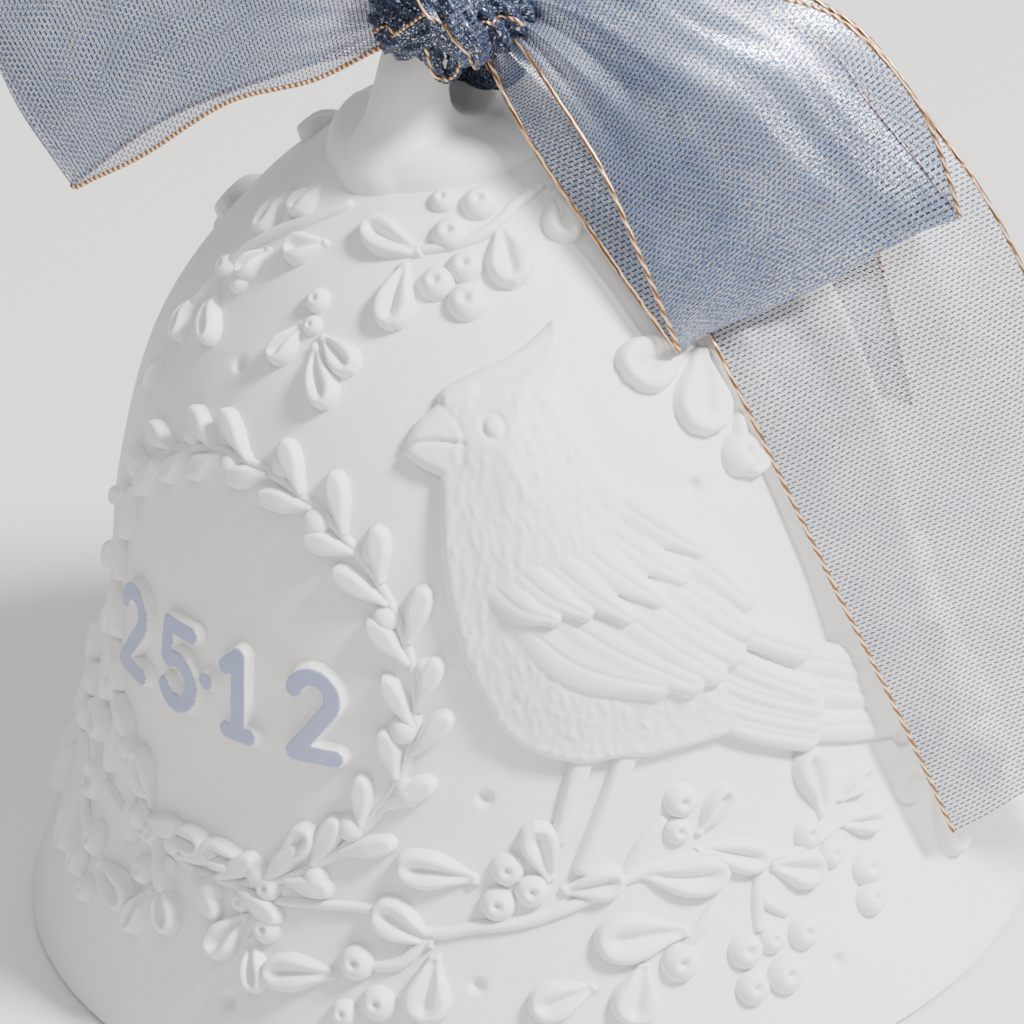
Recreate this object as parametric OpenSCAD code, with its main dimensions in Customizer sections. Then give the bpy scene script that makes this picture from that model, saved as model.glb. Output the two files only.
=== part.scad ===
// Porcelain bell ornament: a bisque bell with applied relief, an organza bow
// tied through the lug on its crown, and a ball clapper hung inside on linked eyes.
// Millimetres, +Z up. The origin is the middle of the mouth, in the plane of the lip.
// Azimuth 0 is the front (-Y), where the wreath is, and grows towards +X.

/* [Bell body] */
// Height of the body, from the lip to the top of the crown
body_h = 68; // [64:0.5:72]
// Radius of the lip, outside
lip_r = 41.5; // [39:0.5:44]
// Wall thickness at the lip
wall = 2.7; // [2:0.1:3.5]
// Thickness of the crown over the hollow
crown_wall = 3.2; // [2.5:0.1:4]
// Chamfer along both edges of the lip
lip_chamfer = 0.5; // [0.2:0.1:0.8]

/* [Hanger lug] */
// Height of the hole's centre above the lip
hole_z = 71.6; // [71.2:0.1:72.5]
// Radius of the ribbon hole
hole_r = 2.1; // [1.8:0.1:2.4]
// Radius of the round top of the lug
lug_top_r = 5.4; // [5:0.1:6]
// Thickness of the lug, along the hole
lug_t = 6; // [5:0.25:7]
// Width of the lug at its foot
lug_foot_w = 20; // [18:0.5:21]
// Radius of the low plinth under the lug
plinth_r = 9; // [8.5:0.1:9.4]

/* [Relief] */
// Thickness of a leaf
leaf_h = 0.9; // [0.5:0.1:1.2]
// Thickness of a stem
stem_h = 0.5; // [0.3:0.1:0.8]
// Width of a stem
stem_w = 0.9; // [0.6:0.1:1.2]
// Thickness of the numerals
numeral_h = 0.8; // [0.5:0.1:1]
// Thickness of a bird's body
bird_h = 1.6; // [1:0.1:2]
// Thickness of a bird's tail and legs
tail_h = 0.9; // [0.6:0.1:1.2]

/* [Wreath] */
// Height of the wreath's centre above the lip
wreath_z = 32; // [30:0.5:34]
// Radius of the wreath, along its stem
wreath_r = 17; // [15:0.5:18]
// Pairs of leaves round the wreath
wreath_pairs = 22; // [16:1:24]

/* [Ribbon] */
// Width of the ribbon
ribbon_w = 25; // [20:1:26]
// Azimuth that the bow faces
bow_turn = 47; // [40:1:55]
// Angle that the bow leans back
bow_lean = 29; // [20:1:35]

/* [Clapper] */
// Radius of the ball
ball_r = 6; // [5:0.5:6.5]
// Height of the ball's centre above the lip
ball_z = 17; // [15:0.5:20]
// Radius of the wire in the staple
staple_wire_r = 0.6; // [0.5:0.05:0.7]
// Radius of the wire in the link and the clapper's eye
link_wire_r = 0.45; // [0.35:0.05:0.5]
// Radius of the link and of the eye, to the middle of the wire
link_r = 1.9; // [1.8:0.05:2.1]

/* [Hidden] */

porcelain = "#f2f1ee";
numeral_blue = "#a9b0d0";
ribbon_blue = "#7d90ad";
wire_steel = "#b9bcc0";

// Outline of the bell from the crown to the lip: parts of the lip radius and of the body height
OUTLINE = [
    [0, 1], [0.12, 0.999], [0.23, 0.988], [0.337, 0.948], [0.482, 0.87],
    [0.65, 0.733], [0.742, 0.565], [0.786, 0.396], [0.855, 0.223], [1, 0]
];
CURVE_STEPS = 3;
// First knot of the outline that carries relief
RELIEF_KNOT = 2;

// One point of a Catmull-Rom curve between b and c
function curve_point(a, b, c, d, t) =
    (2 * b + (c - a) * t + (2 * a - 5 * b + 4 * c - d) * t * t + (3 * b - a - 3 * c + d) * t * t * t) / 2;

function knot(i) =
    i < 0 ? [-OUTLINE[1][0], OUTLINE[1][1]]
    : i >= len(OUTLINE) ? 2 * OUTLINE[len(OUTLINE) - 1] - OUTLINE[len(OUTLINE) - 2]
    : OUTLINE[i];

// The outline as points for a bell of lip radius r and height h, from one knot to the lip
function bell_curve(r, h, first = 0) = [
    for (i = [first:len(OUTLINE) - 2])
        for (k = [0:CURVE_STEPS - 1])
            let (p = curve_point(knot(i - 1), knot(i), knot(i + 1), knot(i + 2), k / CURVE_STEPS))
                [p[0] * r, p[1] * h],
    [r, 0]
];

OUTER = bell_curve(lip_r, body_h);
INNER = bell_curve(lip_r - wall, body_h - crown_wall);
RADIUS_TABLE = [for (p = OUTER) [p[1], p[0]]];

function radius_at(z) = lookup(z, RADIUS_TABLE);
function reversed(points) = [for (i = [len(points) - 1:-1:0]) points[i]];
// Angle that the surface's normal rises above the horizon at height z
function normal_rise(z) = atan(radius_at(z - 0.5) - radius_at(z + 0.5));
// Azimuth of a point that lies x to the side when it is seen from the front
function azimuth_of(x, z) = asin(x / radius_at(z));
// Unit normal of a curve at point i, pointing outwards
function curve_normal(points, i) =
    let (a = points[max(i - 1, 0)], b = points[min(i + 1, len(points) - 1)], d = b - a)
        [-d[1], d[0]] / norm(d);

// Puts its children on the bell: x runs sideways, y up the wall, z straight out of it
module at_surface(azimuth, z) {
    rotate([0, 0, azimuth])
        translate([0, -radius_at(z), z])
            rotate([90 - normal_rise(z), 0, 0])
                children();
}

// The outline of the bell raised by h, from the first knot that carries relief
function raised_curve(h) =
    let (skin = bell_curve(lip_r, body_h, RELIEF_KNOT))
        [for (i = [0:len(skin) - 1]) skin[i] + h * curve_normal(skin, i)];

// Bends shapes onto the bell as relief that fills the layer from base to h over its surface
module relief(h, base = 0) {
    intersection() {
        union() children();
        rotate_extrude($fn = 120) polygon(concat(raised_curve(base), reversed(raised_curve(h))));
    }
}

// Extrudes an outline through the surface, ready for relief()
module through_skin() {
    translate([0, 0, -3])
        linear_extrude(6) children();
}

// --- Bell ---

// Shallow round dimples between the ornaments: azimuth and height
DIMPLES = [[41, 25], [39, 10.5], [78, 46.5], [-9, 54.5], [7, 6.5], [84, 6.5], [-41, 25], [-39, 10.5], [-78, 46.5]];
dimple_r = 0.7;
dimple_out = 0.3;

module bell_shell() {
    lip = [
        [lip_r, lip_chamfer], [lip_r - lip_chamfer, 0],
        [lip_r - wall + lip_chamfer, 0], [lip_r - wall, lip_chamfer]
    ];
    outer = [for (i = [0:len(OUTER) - 2]) OUTER[i]];
    inner = [for (i = [0:len(INNER) - 2]) INNER[i]];
    color(porcelain)
        difference() {
            rotate_extrude($fn = 120) polygon(concat(outer, lip, reversed(inner)));
            for (d = DIMPLES)
                at_surface(d[0], d[1]) translate([0, 0, dimple_out]) sphere(r = dimple_r, $fn = 24);
        }
}

module bell_solid() {
    rotate_extrude($fn = 120) polygon(concat(OUTER, [[0, 0]]));
}

lug_top_z = hole_z + 1.3;
lug_waist_w = 15;
plinth_z = 68.6;

module hanger_lug() {
    color(porcelain)
        difference() {
            union() {
                translate([-lug_t / 2, 0, 0])
                    rotate([90, 0, 90])
                        linear_extrude(lug_t) {
                            translate([0, lug_top_z]) circle(r = lug_top_r, $fn = 64);
                            polygon([
                                [-lug_foot_w / 2, body_h - 3], [lug_foot_w / 2, body_h - 3],
                                [lug_foot_w / 2 - 1, body_h], [lug_waist_w / 2, hole_z],
                                [lug_top_r * 0.86, lug_top_z + lug_top_r * 0.5],
                                [-lug_top_r * 0.86, lug_top_z + lug_top_r * 0.5],
                                [-lug_waist_w / 2, hole_z], [1 - lug_foot_w / 2, body_h]
                            ]);
                        }
                translate([0, 0, body_h - 3])
                    cylinder(r1 = plinth_r + 0.6, r2 = plinth_r, h = plinth_z - body_h + 3, $fn = 64);
            }
            translate([-lug_t, 0, hole_z]) rotate([0, 90, 0]) cylinder(r = hole_r, h = 2 * lug_t, $fn = 48);
            bell_solid();
        }
}

// --- Leaves, berries and stems ---

// A spoon-shaped leaf from the origin along +X
module leaf_outline(length, width) {
    tip_r = width / 2;
    reach = length - tip_r;
    half_angle = asin(tip_r / reach);
    touch = [reach * pow(cos(half_angle), 2), reach * cos(half_angle) * sin(half_angle)];
    translate([reach, 0]) circle(r = tip_r, $fn = 32);
    polygon([[0, 0], [touch[0], -touch[1]], touch]);
}

// Middle of a leaf whose foot is at [azimuth, height], as [azimuth, height]
function leaf_middle(l) = [
    l[0] + l[3] / 2 * cos(l[2]) / radius_at(l[1]) * 180 / PI,
    l[1] + l[3] / 2 * sin(l[2]) * cos(normal_rise(l[1]))
];

// Leaves from a list of [azimuth, height, direction, length, width], laid flat on the wall
module leaves(list) {
    for (l = list)
        let (m = leaf_middle(l))
            at_surface(m[0], m[1])
                rotate(l[2])
                    translate([-l[3] / 2, 0, 0])
                        linear_extrude(leaf_h) leaf_outline(l[3], l[4]);
}

// Berries from a list of [azimuth, height, radius], each half a ball on the wall
module berries(list) {
    for (b = list)
        at_surface(b[0], b[1]) half_ball(b[2]);
}

module half_ball(r) {
    intersection() {
        sphere(r = r, $fn = 48);
        translate([0, 0, r]) cube(2 * r, center = true);
    }
}

// Stems as straight pieces between neighbouring points, each [azimuth, height]
module stems(paths) {
    relief(stem_h)
        for (path = paths)
            for (i = [0:len(path) - 2])
                stem_piece(path[i], path[i + 1]);
}

module stem_piece(from, to) {
    middle = (from + to) / 2;
    run = [(to[0] - from[0]) * PI / 180 * radius_at(middle[1]), (to[1] - from[1]) / cos(normal_rise(middle[1]))];
    at_surface(middle[0], middle[1])
        rotate(atan2(run[1], run[0]))
            through_skin() square([norm(run) + stem_w / 2, stem_w], center = true);
}

// --- Wreath ---

// A point of the wreath's ring at angle a, as [azimuth, height]
function wreath_point(a) =
    let (z = wreath_z + wreath_r * sin(a)) [azimuth_of(wreath_r * cos(a), z), z];

wreath_leaf = [5.6, 2.3];
wreath_berry_r = 0.9;
leaf_spread = 32;

module wreath_stem() {
    color(porcelain)
        relief(stem_h)
            rotate([90, 0, 0])
                translate([0, wreath_z, 0])
                    linear_extrude(lip_r + 5)
                        difference() {
                            circle(r = wreath_r + stem_w / 2, $fn = 96);
                            circle(r = wreath_r - stem_w / 2, $fn = 96);
                        }
}

module wreath_leaves() {
    step = 360 / wreath_pairs;
    color(porcelain)
        leaves([
            for (i = [0:wreath_pairs - 1])
                for (side = [-1, 1])
                    let (a = (i + side / 5) * step, p = wreath_point(a))
                        [p[0], p[1], a + 90 + side * -leaf_spread, wreath_leaf[0], wreath_leaf[1]]
        ]);
}

module wreath_berries() {
    step = 360 / wreath_pairs;
    color(porcelain)
        berries([
            for (i = [0:wreath_pairs - 1])
                let (p = wreath_point((i - 0.2) * step)) [p[0], p[1], wreath_berry_r]
        ]);
}

// --- Numerals ---

numeral_z = 31;
numeral_size = 8;
numeral_stroke = 1.5;
numeral_pitch = 12.5;
numeral_middle = -1.5;

// A round arc of a numeral's stroke, from angle a1 to a2
module stroke_arc(r, a1, a2) {
    rotate(a1) intersection() {
        difference() {
            circle(r = r + numeral_stroke / 2, $fn = 32);
            circle(r = r - numeral_stroke / 2, $fn = 32);
        }
        polygon([[0, 0], for (k = [0:4]) 2 * r * [cos(k / 4 * (a2 - a1)), sin(k / 4 * (a2 - a1))]]);
    }
}

module bar(from, to) {
    run = to - from;
    translate((from + to) / 2)
        rotate(atan2(run[1], run[0]))
            square([norm(run) + numeral_stroke * 0.6, numeral_stroke], center = true);
}

module numeral_one() {
    bar([0, -3.2], [0, 3.2]);
    bar([-1.3, 2.2], [-0.3, 3]);
    bar([-1, -3.3], [1, -3.3]);
}

module numeral_two() {
    translate([0, 1.6]) stroke_arc(1.7, -45, 165);
    bar([1.1, 0.6], [-1.7, -3.2]);
    bar([-1.6, -3.3], [1.9, -3.3]);
}

module numeral_five() {
    bar([-1.2, 3.3], [1.7, 3.3]);
    bar([-1.3, 3], [-1.5, 0.4]);
    translate([-0.1, -1.4]) stroke_arc(1.9, -150, 130);
}

module date_numerals() {
    color(numeral_blue)
        relief(numeral_h) {
            at_surface(numeral_middle - 1.5 * numeral_pitch, numeral_z) through_skin() numeral_two();
            at_surface(numeral_middle - 0.5 * numeral_pitch, numeral_z) through_skin() numeral_five();
            at_surface(numeral_middle, numeral_z) through_skin() circle(r = 0.7, $fn = 24);
            at_surface(numeral_middle + 0.5 * numeral_pitch, numeral_z) through_skin() numeral_one();
            at_surface(numeral_middle + 1.5 * numeral_pitch, numeral_z) through_skin() numeral_two();
        }
}

// --- Birds ---

// Outlines as seen straight towards the bird: sideways and up from its middle
bird_azimuth = 58;
bird_z = 40;
BIRD_BODY = [
    [1, 19], [0, 15], [1.5, 11.5], [5.5, 5.5], [9.5, 1.5], [11, -2.5], [11.5, -8], [11, -13.5],
    [3.5, -13], [-2.5, -12.5], [-7.5, -10], [-10, -6], [-10.5, 0], [-10.5, 6], [-10, 10],
    [-12.5, 11.5], [-9, 14.5], [-8, 15.5], [-3, 17.5]
];
BIRD_WING = [
    [-6, 1], [-4.5, 2.3], [5, 1.5], [9, -1], [10.5, -4.5], [10, -7], [7, -8], [0.5, -7], [-4.5, -4.5], [-5.5, -2]
];
BIRD_TAIL = [[11.2, -3], [15.5, -6.5], [24, -14.5], [24.5, -16.5], [17, -17], [11.1, -13.4], [11.6, -8]];
BIRD_LEGS = [
    [[-2.5, -12.6], [-1, -12.8], [-3.2, -17.5], [-4.9, -17.5]],
    [[0.5, -12.9], [2.5, -13], [-1.8, -20.5], [-3.5, -20.5]]
];
wing_out = 0.5;

// Cuts relief from base to h to a bird's outline; the back bird is the same one half way round
module bird_relief(turn, h, base = 0) {
    relief(h, base)
        rotate([0, 0, turn])
            rotate([0, 0, bird_azimuth])
                translate([0, 0, bird_z])
                    rotate([90, 0, 0])
                        linear_extrude(lip_r + 5) children();
}

module bird_body(turn) {
    color(porcelain) bird_relief(turn, bird_h) polygon(BIRD_BODY);
}

module bird_wing(turn) {
    color(porcelain) bird_relief(turn, bird_h + wing_out, bird_h) polygon(BIRD_WING);
}

module bird_tail(turn) {
    color(porcelain) bird_relief(turn, tail_h) polygon(BIRD_TAIL);
}

module bird_legs(turn) {
    color(porcelain)
        bird_relief(turn, tail_h)
            for (leg = BIRD_LEGS) polygon(leg);
}

// --- Branches round the foot of the bell, for azimuths 0 to 98; the other half mirrors them ---

BRANCH_LEAVES = [
    [9, 17, 178, 5.5, 2.2], [12, 17.5, 55, 5, 2.2], [8, 13.5, -125, 5, 2.4], [9, 12, -72, 4.5, 2.1],
    [22, 10.5, 180, 6.5, 2.6], [34, 13.5, 150, 5.5, 2.9], [40, 18.5, 160, 6.5, 2.7],
    [49, 18, 100, 5, 2.7], [50, 17.3, 4, 5, 2.4], [69, 19.5, 45, 4.5, 1.8], [60, 18, -25, 7.5, 2.8],
    [68, 18.5, -15, 6.5, 2.4], [78, 15.5, -25, 5, 2.7], [88, 17, 87, 6, 2.7], [91, 17.5, 15, 4, 1.7],
    [90, 16, -20, 4.5, 1.9], [66, 12.6, 170, 7.5, 3.4], [59.5, 11.2, -112, 5, 3.2], [53.5, 10, -165, 5.5, 2.7],
    [34, 13, -100, 5.5, 3.1]
];
BRANCH_BERRIES = [
    [10.7, 15.9, 1.1], [6.8, 14.2, 0.9], [11.2, 12.8, 1.2], [43.5, 19.4, 1.3], [46.5, 17.6, 1.3],
    [42, 16.7, 1.35], [67.5, 22.7, 1.35], [66.5, 20.4, 1.1], [84.8, 16.5, 1.2], [87.6, 14.2, 1.1],
    [92.2, 11.8, 1.35], [91.2, 9.6, 1.35], [72.2, 10, 1.4], [76, 10.1, 1.1], [80.3, 9.7, 1.3],
    [76.5, 7.3, 1.5], [72, 7.2, 1.35], [63.8, 10.5, 1.5], [24, 11.7, 1.4], [27, 8.9, 1.4], [22.8, 7.8, 1.1]
];
BRANCH_STEMS = [
    [[12, 15], [19, 15.6], [26, 15.8], [33, 14.4], [39, 14.9], [45, 15.2], [52, 16.2], [58, 17.5], [64, 18],
        [70, 18], [77, 16.2], [84, 15.6], [91, 16]],
    [[58, 17.5], [61.5, 20], [65, 21.6]],
    [[77, 16], [75.5, 13.5], [74.5, 11]],
    [[75.5, 13.5], [79, 11.5]],
    [[70, 14.2], [67, 12.6], [64.5, 11.5]],
    [[33, 14], [29.5, 12], [25.5, 11.5]]
];
// The back repeats the branch from this azimuth on, turned by this much
BACK_FROM = 30;
BACK_TURN = 76;

function both_sides(list) = [
    for (e = list) e,
    for (e = list) if (e[0] >= BACK_FROM) [e[0] + BACK_TURN, for (k = [1:len(e) - 1]) e[k]]
];

module both_mirrored() {
    children();
    mirror([1, 0, 0]) children();
}

module branch_leaves() {
    color(porcelain) both_mirrored() leaves(both_sides(BRANCH_LEAVES));
}

module branch_berries() {
    color(porcelain) both_mirrored() berries(both_sides(BRANCH_BERRIES));
}

module branch_stems() {
    back = [for (path = BRANCH_STEMS) if (path[0][0] >= BACK_FROM) [for (p = path) p + [BACK_TURN, 0]]];
    back_main = [for (p = BRANCH_STEMS[0]) if (p[0] >= BACK_FROM) p + [BACK_TURN, 0]];
    color(porcelain) both_mirrored() stems(concat(BRANCH_STEMS, back, [back_main]));
}

// --- Sprigs round the crown; those beyond an azimuth of 60 are mirrored to the other side ---

CROWN_LEAVES = [
    [-2, 63, -145, 4, 2.2], [-23, 65.2, -80, 3.5, 2.1], [-35, 64, -60, 5, 1.9], [-20, 61.2, -105, 3.5, 1.9],
    [-30, 57, -35, 5.5, 1.8], [-37, 55.5, -45, 4.5, 1.6], [-33, 51.5, -85, 3.5, 1.6],
    [3, 58.5, -110, 4, 1.8], [8, 58, -20, 4.5, 2.1], [7, 57.5, -55, 5.5, 2.2],
    [29, 63.5, 172, 5.5, 2.7], [24, 63, -90, 5.5, 2.7], [52, 65, -85, 5.5, 2.9], [75, 66, -105, 4.5, 2.4],
    [88, 55.5, 178, 6.5, 3.8], [90, 55, -130, 7, 4], [92, 51, -105, 6, 3],
    [118, 64, -150, 5, 2.4], [120, 62, -95, 5.5, 2.6], [124, 64.5, -40, 5, 2.4],
    [145, 59, -120, 5, 2.2], [149, 58.5, -60, 5, 2.2], [152, 62, -20, 4.5, 2.2], [172, 64.5, -90, 5, 2.6]
];
CROWN_BERRIES = [
    [-31.5, 58.3, 1], [-22.2, 58.5, 1],
    [4, 59.9, 1], [5.2, 58.4, 0.8], [32, 66.2, 1], [46, 66, 1.35], [36, 64.5, 1.35], [41, 62.8, 1.3],
    [33.8, 61.9, 1.35], [41.5, 60.9, 1.5], [87.8, 47.4, 1.7], [116, 66, 1.2], [126, 62, 1.3],
    [130, 64, 1.2], [146, 61, 1.1], [160, 65.5, 1.3], [165, 63.5, 1.2]
];
CROWN_STEMS = [
    [[-3, 65.2], [-14, 63.5], [-24, 61.5], [-31, 58.5], [-35, 54]],
    [[72, 66.4], [60, 65.8], [48, 64.6], [38, 64], [27, 63.6]],
    [[90, 55.5], [91.5, 52], [92, 49]],
    [[112, 65.8], [120, 64.4], [128, 64.6]],
    [[140, 61.5], [147, 60], [154, 62.5]]
];
CROWN_MIRROR_FROM = 60;

module crown_leaves() {
    color(porcelain) {
        leaves(CROWN_LEAVES);
        mirror([1, 0, 0]) leaves([for (l = CROWN_LEAVES) if (l[0] > CROWN_MIRROR_FROM) l]);
    }
}

module crown_berries() {
    color(porcelain) {
        berries(CROWN_BERRIES);
        mirror([1, 0, 0]) berries([for (b = CROWN_BERRIES) if (b[0] > CROWN_MIRROR_FROM) b]);
    }
}

module crown_stems() {
    color(porcelain) {
        stems(CROWN_STEMS);
        mirror([1, 0, 0]) stems([for (path = CROWN_STEMS) if (path[1][0] > CROWN_MIRROR_FROM) path]);
    }
}

// --- Bow ---

// The bow's frame starts on the axis at this height
bow_z = 42;
// Middle of the knot in the bow's frame
knot_at = [-1, 30, 26];
knot_r = 4.4;
knot_len = 11;
knot_taper = 2;
turn_r = 1.5;

// The slanted frame that the bow lies in: x to its right, y up, z out towards its front
module bow_frame() {
    translate([0, 0, bow_z])
        rotate([0, 0, bow_turn])
            rotate([90 - bow_lean, 0, 0])
                children();
}

// A flat soft piece in the bow's frame, from z0 to z1
module soft_pad(z0, z1) {
    bow_frame() translate([0, 0, z0]) linear_extrude(z1 - z0) children();
}

// A round bar from one point to another, with a slightly larger ball at its start
module soft_bar(from, to, r) {
    run = to - from;
    translate(from) {
        sphere(r = 1.1 * r, $fn = 32);
        rotate([0, acos(run[2] / norm(run)), atan2(run[1], run[0])])
            cylinder(r = r, h = norm(run), $fn = 32);
    }
}

// The gathered ribbon through the hole, up the far face of the lug and over its top
TURN_PATH = [[5.3, -2, 75.2], [5, 0, 71.6], [-5, 0, 71.6], [-5.2, -1.5, 79.6], [-1, -4.2, 81]];

module ribbon_turn() {
    color(ribbon_blue)
        for (i = [0:len(TURN_PATH) - 2]) soft_bar(TURN_PATH[i], TURN_PATH[i + 1], turn_r);
}

module bow_knot() {
    barrel = knot_len - 2 * knot_taper;
    color(ribbon_blue)
        bow_frame()
            translate(knot_at)
                rotate([0, 90, 0]) {
                    cylinder(r = knot_r, h = barrel, center = true, $fn = 48);
                    for (side = [0, 1])
                        mirror([0, 0, side])
                            translate([0, 0, barrel / 2])
                                cylinder(r1 = knot_r, r2 = knot_r * 0.6, h = knot_taper, $fn = 48);
                }
}

loop_t = 4;

module bow_loop_right() {
    color(ribbon_blue)
        soft_pad(24.5, 24.5 + loop_t)
            polygon([
                [4.8, 27], [4.8, 32.5], [13, 35], [24, 32.5], [32, 27.5], [36.8, 20], [36.5, 12.2], [14.2, 3],
                [8, 16]
            ]);
}

module bow_loop_left() {
    color(ribbon_blue)
        soft_pad(21, 21 + loop_t)
            polygon([
                [-6.8, 27.5], [-6.8, 32.5], [-14, 38], [-26, 42], [-36, 40], [-39, 32], [-37, 19.5],
                [-20, 22.3], [-9, 25]
            ]);
}

tail_t = 1.2;
// The right tail slopes down behind the loop, then hangs beside the bell in a nearly upright plane
right_tail_azimuth = 54;
right_tail_out = 23.5;
right_tail_z = 57;
right_tail_lean = -5;
TAIL_FALL_RIGHT = [[15.5, 3], [27.5, -31], [32.5, -45], [55, -36], [39.5, 9], [17, 5]];
TAIL_TOP_RIGHT = [[4, 28.5], [4, 31.5], [14, 31], [30, 25], [38, 12], [17, 3.5], [9, 16]];

module ribbon_tail_right() {
    color(ribbon_blue) {
        soft_pad(22.8, 22.8 + tail_t) polygon(TAIL_TOP_RIGHT);
        rotate([0, 0, right_tail_azimuth])
            translate([0, -right_tail_out, right_tail_z])
                rotate([90 - right_tail_lean, 0, 0])
                    linear_extrude(tail_t) polygon(TAIL_FALL_RIGHT);
    }
}

// The back tail falls over the back of the shoulder: distance from the axis and height
back_tail_azimuth = 186;
TAIL_FALL_BACK = [[5.5, 79.5], [9, 77.5], [16, 72], [24, 62], [31, 50], [34, 38], [36.5, 26]];

module ribbon_tail_back() {
    outside = [
        for (i = [0:len(TAIL_FALL_BACK) - 1]) TAIL_FALL_BACK[i] + tail_t * curve_normal(TAIL_FALL_BACK, i)
    ];
    color(ribbon_blue)
        rotate([0, 0, back_tail_azimuth - 90])
            rotate([90, 0, 0])
                translate([0, 0, -ribbon_w / 2])
                    linear_extrude(ribbon_w)
                        polygon(concat(TAIL_FALL_BACK, reversed(outside)));
}

// --- Clapper, hung by three linked loops of wire ---

ceiling_z = body_h - crown_wall;
link_gap = 0.05;
staple_r = 2.2;
staple_z = ceiling_z - staple_r;
link_top_z = staple_z + staple_wire_r + link_wire_r + link_gap;
link_bottom_z = link_top_z - 2 * link_r;
eye_top_z = link_bottom_z + 2 * link_wire_r + link_gap;
eye_bottom_z = eye_top_z - 2 * link_r;
shaft_r = 0.6;
bead_r = 1.4;

module ring(r, wire_r) {
    rotate([90, 0, 0]) rotate_extrude($fn = 48) translate([r, 0]) circle(r = wire_r, $fn = 24);
}

// Half a loop of wire set in the ceiling, open side up
module clapper_staple() {
    color(wire_steel)
        intersection() {
            translate([0, 0, ceiling_z]) ring(staple_r, staple_wire_r);
            translate([-5, -5, ceiling_z - 5]) cube([10, 10, 5]);
        }
}

module clapper_link() {
    color(wire_steel)
        translate([0, 0, link_top_z - link_r]) rotate([0, 0, 90]) ring(link_r, link_wire_r);
}

// The eye and the straight wire below it, down through the ball
module clapper_wire() {
    wire_end_z = ball_z - ball_r - bead_r;
    color(wire_steel) {
        translate([0, 0, eye_top_z - link_r]) ring(link_r, link_wire_r);
        translate([0, 0, wire_end_z]) cylinder(r = shaft_r, h = eye_bottom_z - wire_end_z, $fn = 24);
    }
}

module clapper_ball() {
    color(porcelain)
        translate([0, 0, ball_z])
            difference() {
                sphere(r = ball_r, $fn = 64);
                cylinder(r = shaft_r + 0.02, h = 3 * ball_r, center = true, $fn = 24);
            }
}

module clapper_bead() {
    bead_z = ball_z - ball_r - bead_r;
    color(wire_steel)
        translate([0, 0, bead_z])
            difference() {
                sphere(r = bead_r, $fn = 32);
                cylinder(r = shaft_r + 0.02, h = bead_r * 1.5, $fn = 24);
            }
}

bell_shell();
hanger_lug();
wreath_stem();
wreath_leaves();
wreath_berries();
date_numerals();
bird_body(0);  // right_bird_body
bird_wing(0);  // right_bird_wing
bird_tail(0);  // right_bird_tail
bird_legs(0);  // right_bird_legs
bird_body(180);  // back_bird_body
bird_wing(180);  // back_bird_wing
bird_tail(180);  // back_bird_tail
bird_legs(180);  // back_bird_legs
branch_stems();
branch_leaves();
branch_berries();
crown_stems();
crown_leaves();
crown_berries();
ribbon_turn();
bow_knot();
bow_loop_right();
bow_loop_left();
ribbon_tail_right();
ribbon_tail_back();
clapper_staple();
clapper_link();
clapper_wire();
clapper_ball();
clapper_bead();
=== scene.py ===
"""Looks of a porcelain bell ornament with applied relief and an organza bow.
Sizes are in millimetres until a mesh is made. The origin is the middle of the bell's mouth, +Z up,
azimuth 0 is the front (-Y) and grows towards +X."""

import math

import bpy
import numpy as np
from mathutils import Matrix, Vector


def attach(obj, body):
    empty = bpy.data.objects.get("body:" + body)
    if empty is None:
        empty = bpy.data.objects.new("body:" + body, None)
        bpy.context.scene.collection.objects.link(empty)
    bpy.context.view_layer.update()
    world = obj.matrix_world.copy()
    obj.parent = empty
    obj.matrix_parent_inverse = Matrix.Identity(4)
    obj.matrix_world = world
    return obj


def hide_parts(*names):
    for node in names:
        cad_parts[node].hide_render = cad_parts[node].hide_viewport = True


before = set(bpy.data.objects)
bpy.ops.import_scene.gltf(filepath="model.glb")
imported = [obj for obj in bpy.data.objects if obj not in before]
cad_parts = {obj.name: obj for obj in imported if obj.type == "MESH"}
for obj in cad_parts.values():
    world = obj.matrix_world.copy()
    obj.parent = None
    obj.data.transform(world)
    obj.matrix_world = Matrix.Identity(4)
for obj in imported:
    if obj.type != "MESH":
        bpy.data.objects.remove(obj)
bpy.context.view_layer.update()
MM = 0.001
random = np.random.default_rng(11)

# ------------ the bell's surface

BODY_H, LIP_R, WALL, CROWN_WALL = 68.0, 41.5, 2.7, 3.2
OUTLINE = np.array(
    [[0, 1], [0.12, 0.999], [0.23, 0.988], [0.337, 0.948], [0.482, 0.87], [0.65, 0.733], [0.742, 0.565],
     [0.786, 0.396], [0.855, 0.223], [1, 0]], float)


def spline(points, steps=8, closed=False, before=None):
    """Catmull-Rom curve through the points."""
    p = np.asarray(points, float)
    if closed:
        p = np.vstack([p[-1:], p, p[:2]])
    else:
        first = 2 * p[0] - p[1] if before is None else np.asarray(before, float)
        p = np.vstack([first, p, 2 * p[-1] - p[-2]])
    t = (np.arange(steps) / steps)[:, None]
    runs = []
    for a, b, c, d in zip(p, p[1:], p[2:], p[3:]):
        square, cube = 2 * a - 5 * b + 4 * c - d, 3 * b - a - 3 * c + d
        runs.append((2 * b + (c - a) * t + square * t**2 + cube * t**3) / 2)
    if not closed:
        runs.append(p[-2][None])
    return np.vstack(runs)


def bell_curve(radius, height, steps):
    return spline(OUTLINE, steps, before=[-OUTLINE[1][0], OUTLINE[1][1]]) * [radius, height]


SKIN = bell_curve(LIP_R, BODY_H, 60)
_run = np.gradient(SKIN, axis=0)
_run /= np.linalg.norm(_run, axis=1)[:, None]
SKIN_S = np.concatenate([[0], np.cumsum(np.linalg.norm(np.diff(SKIN, axis=0), axis=1))])


def arc_at(z):
    """Length along the outline from the crown down to height z."""
    return np.interp(-np.asarray(z, float), -SKIN[:, 1], SKIN_S)


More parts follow.
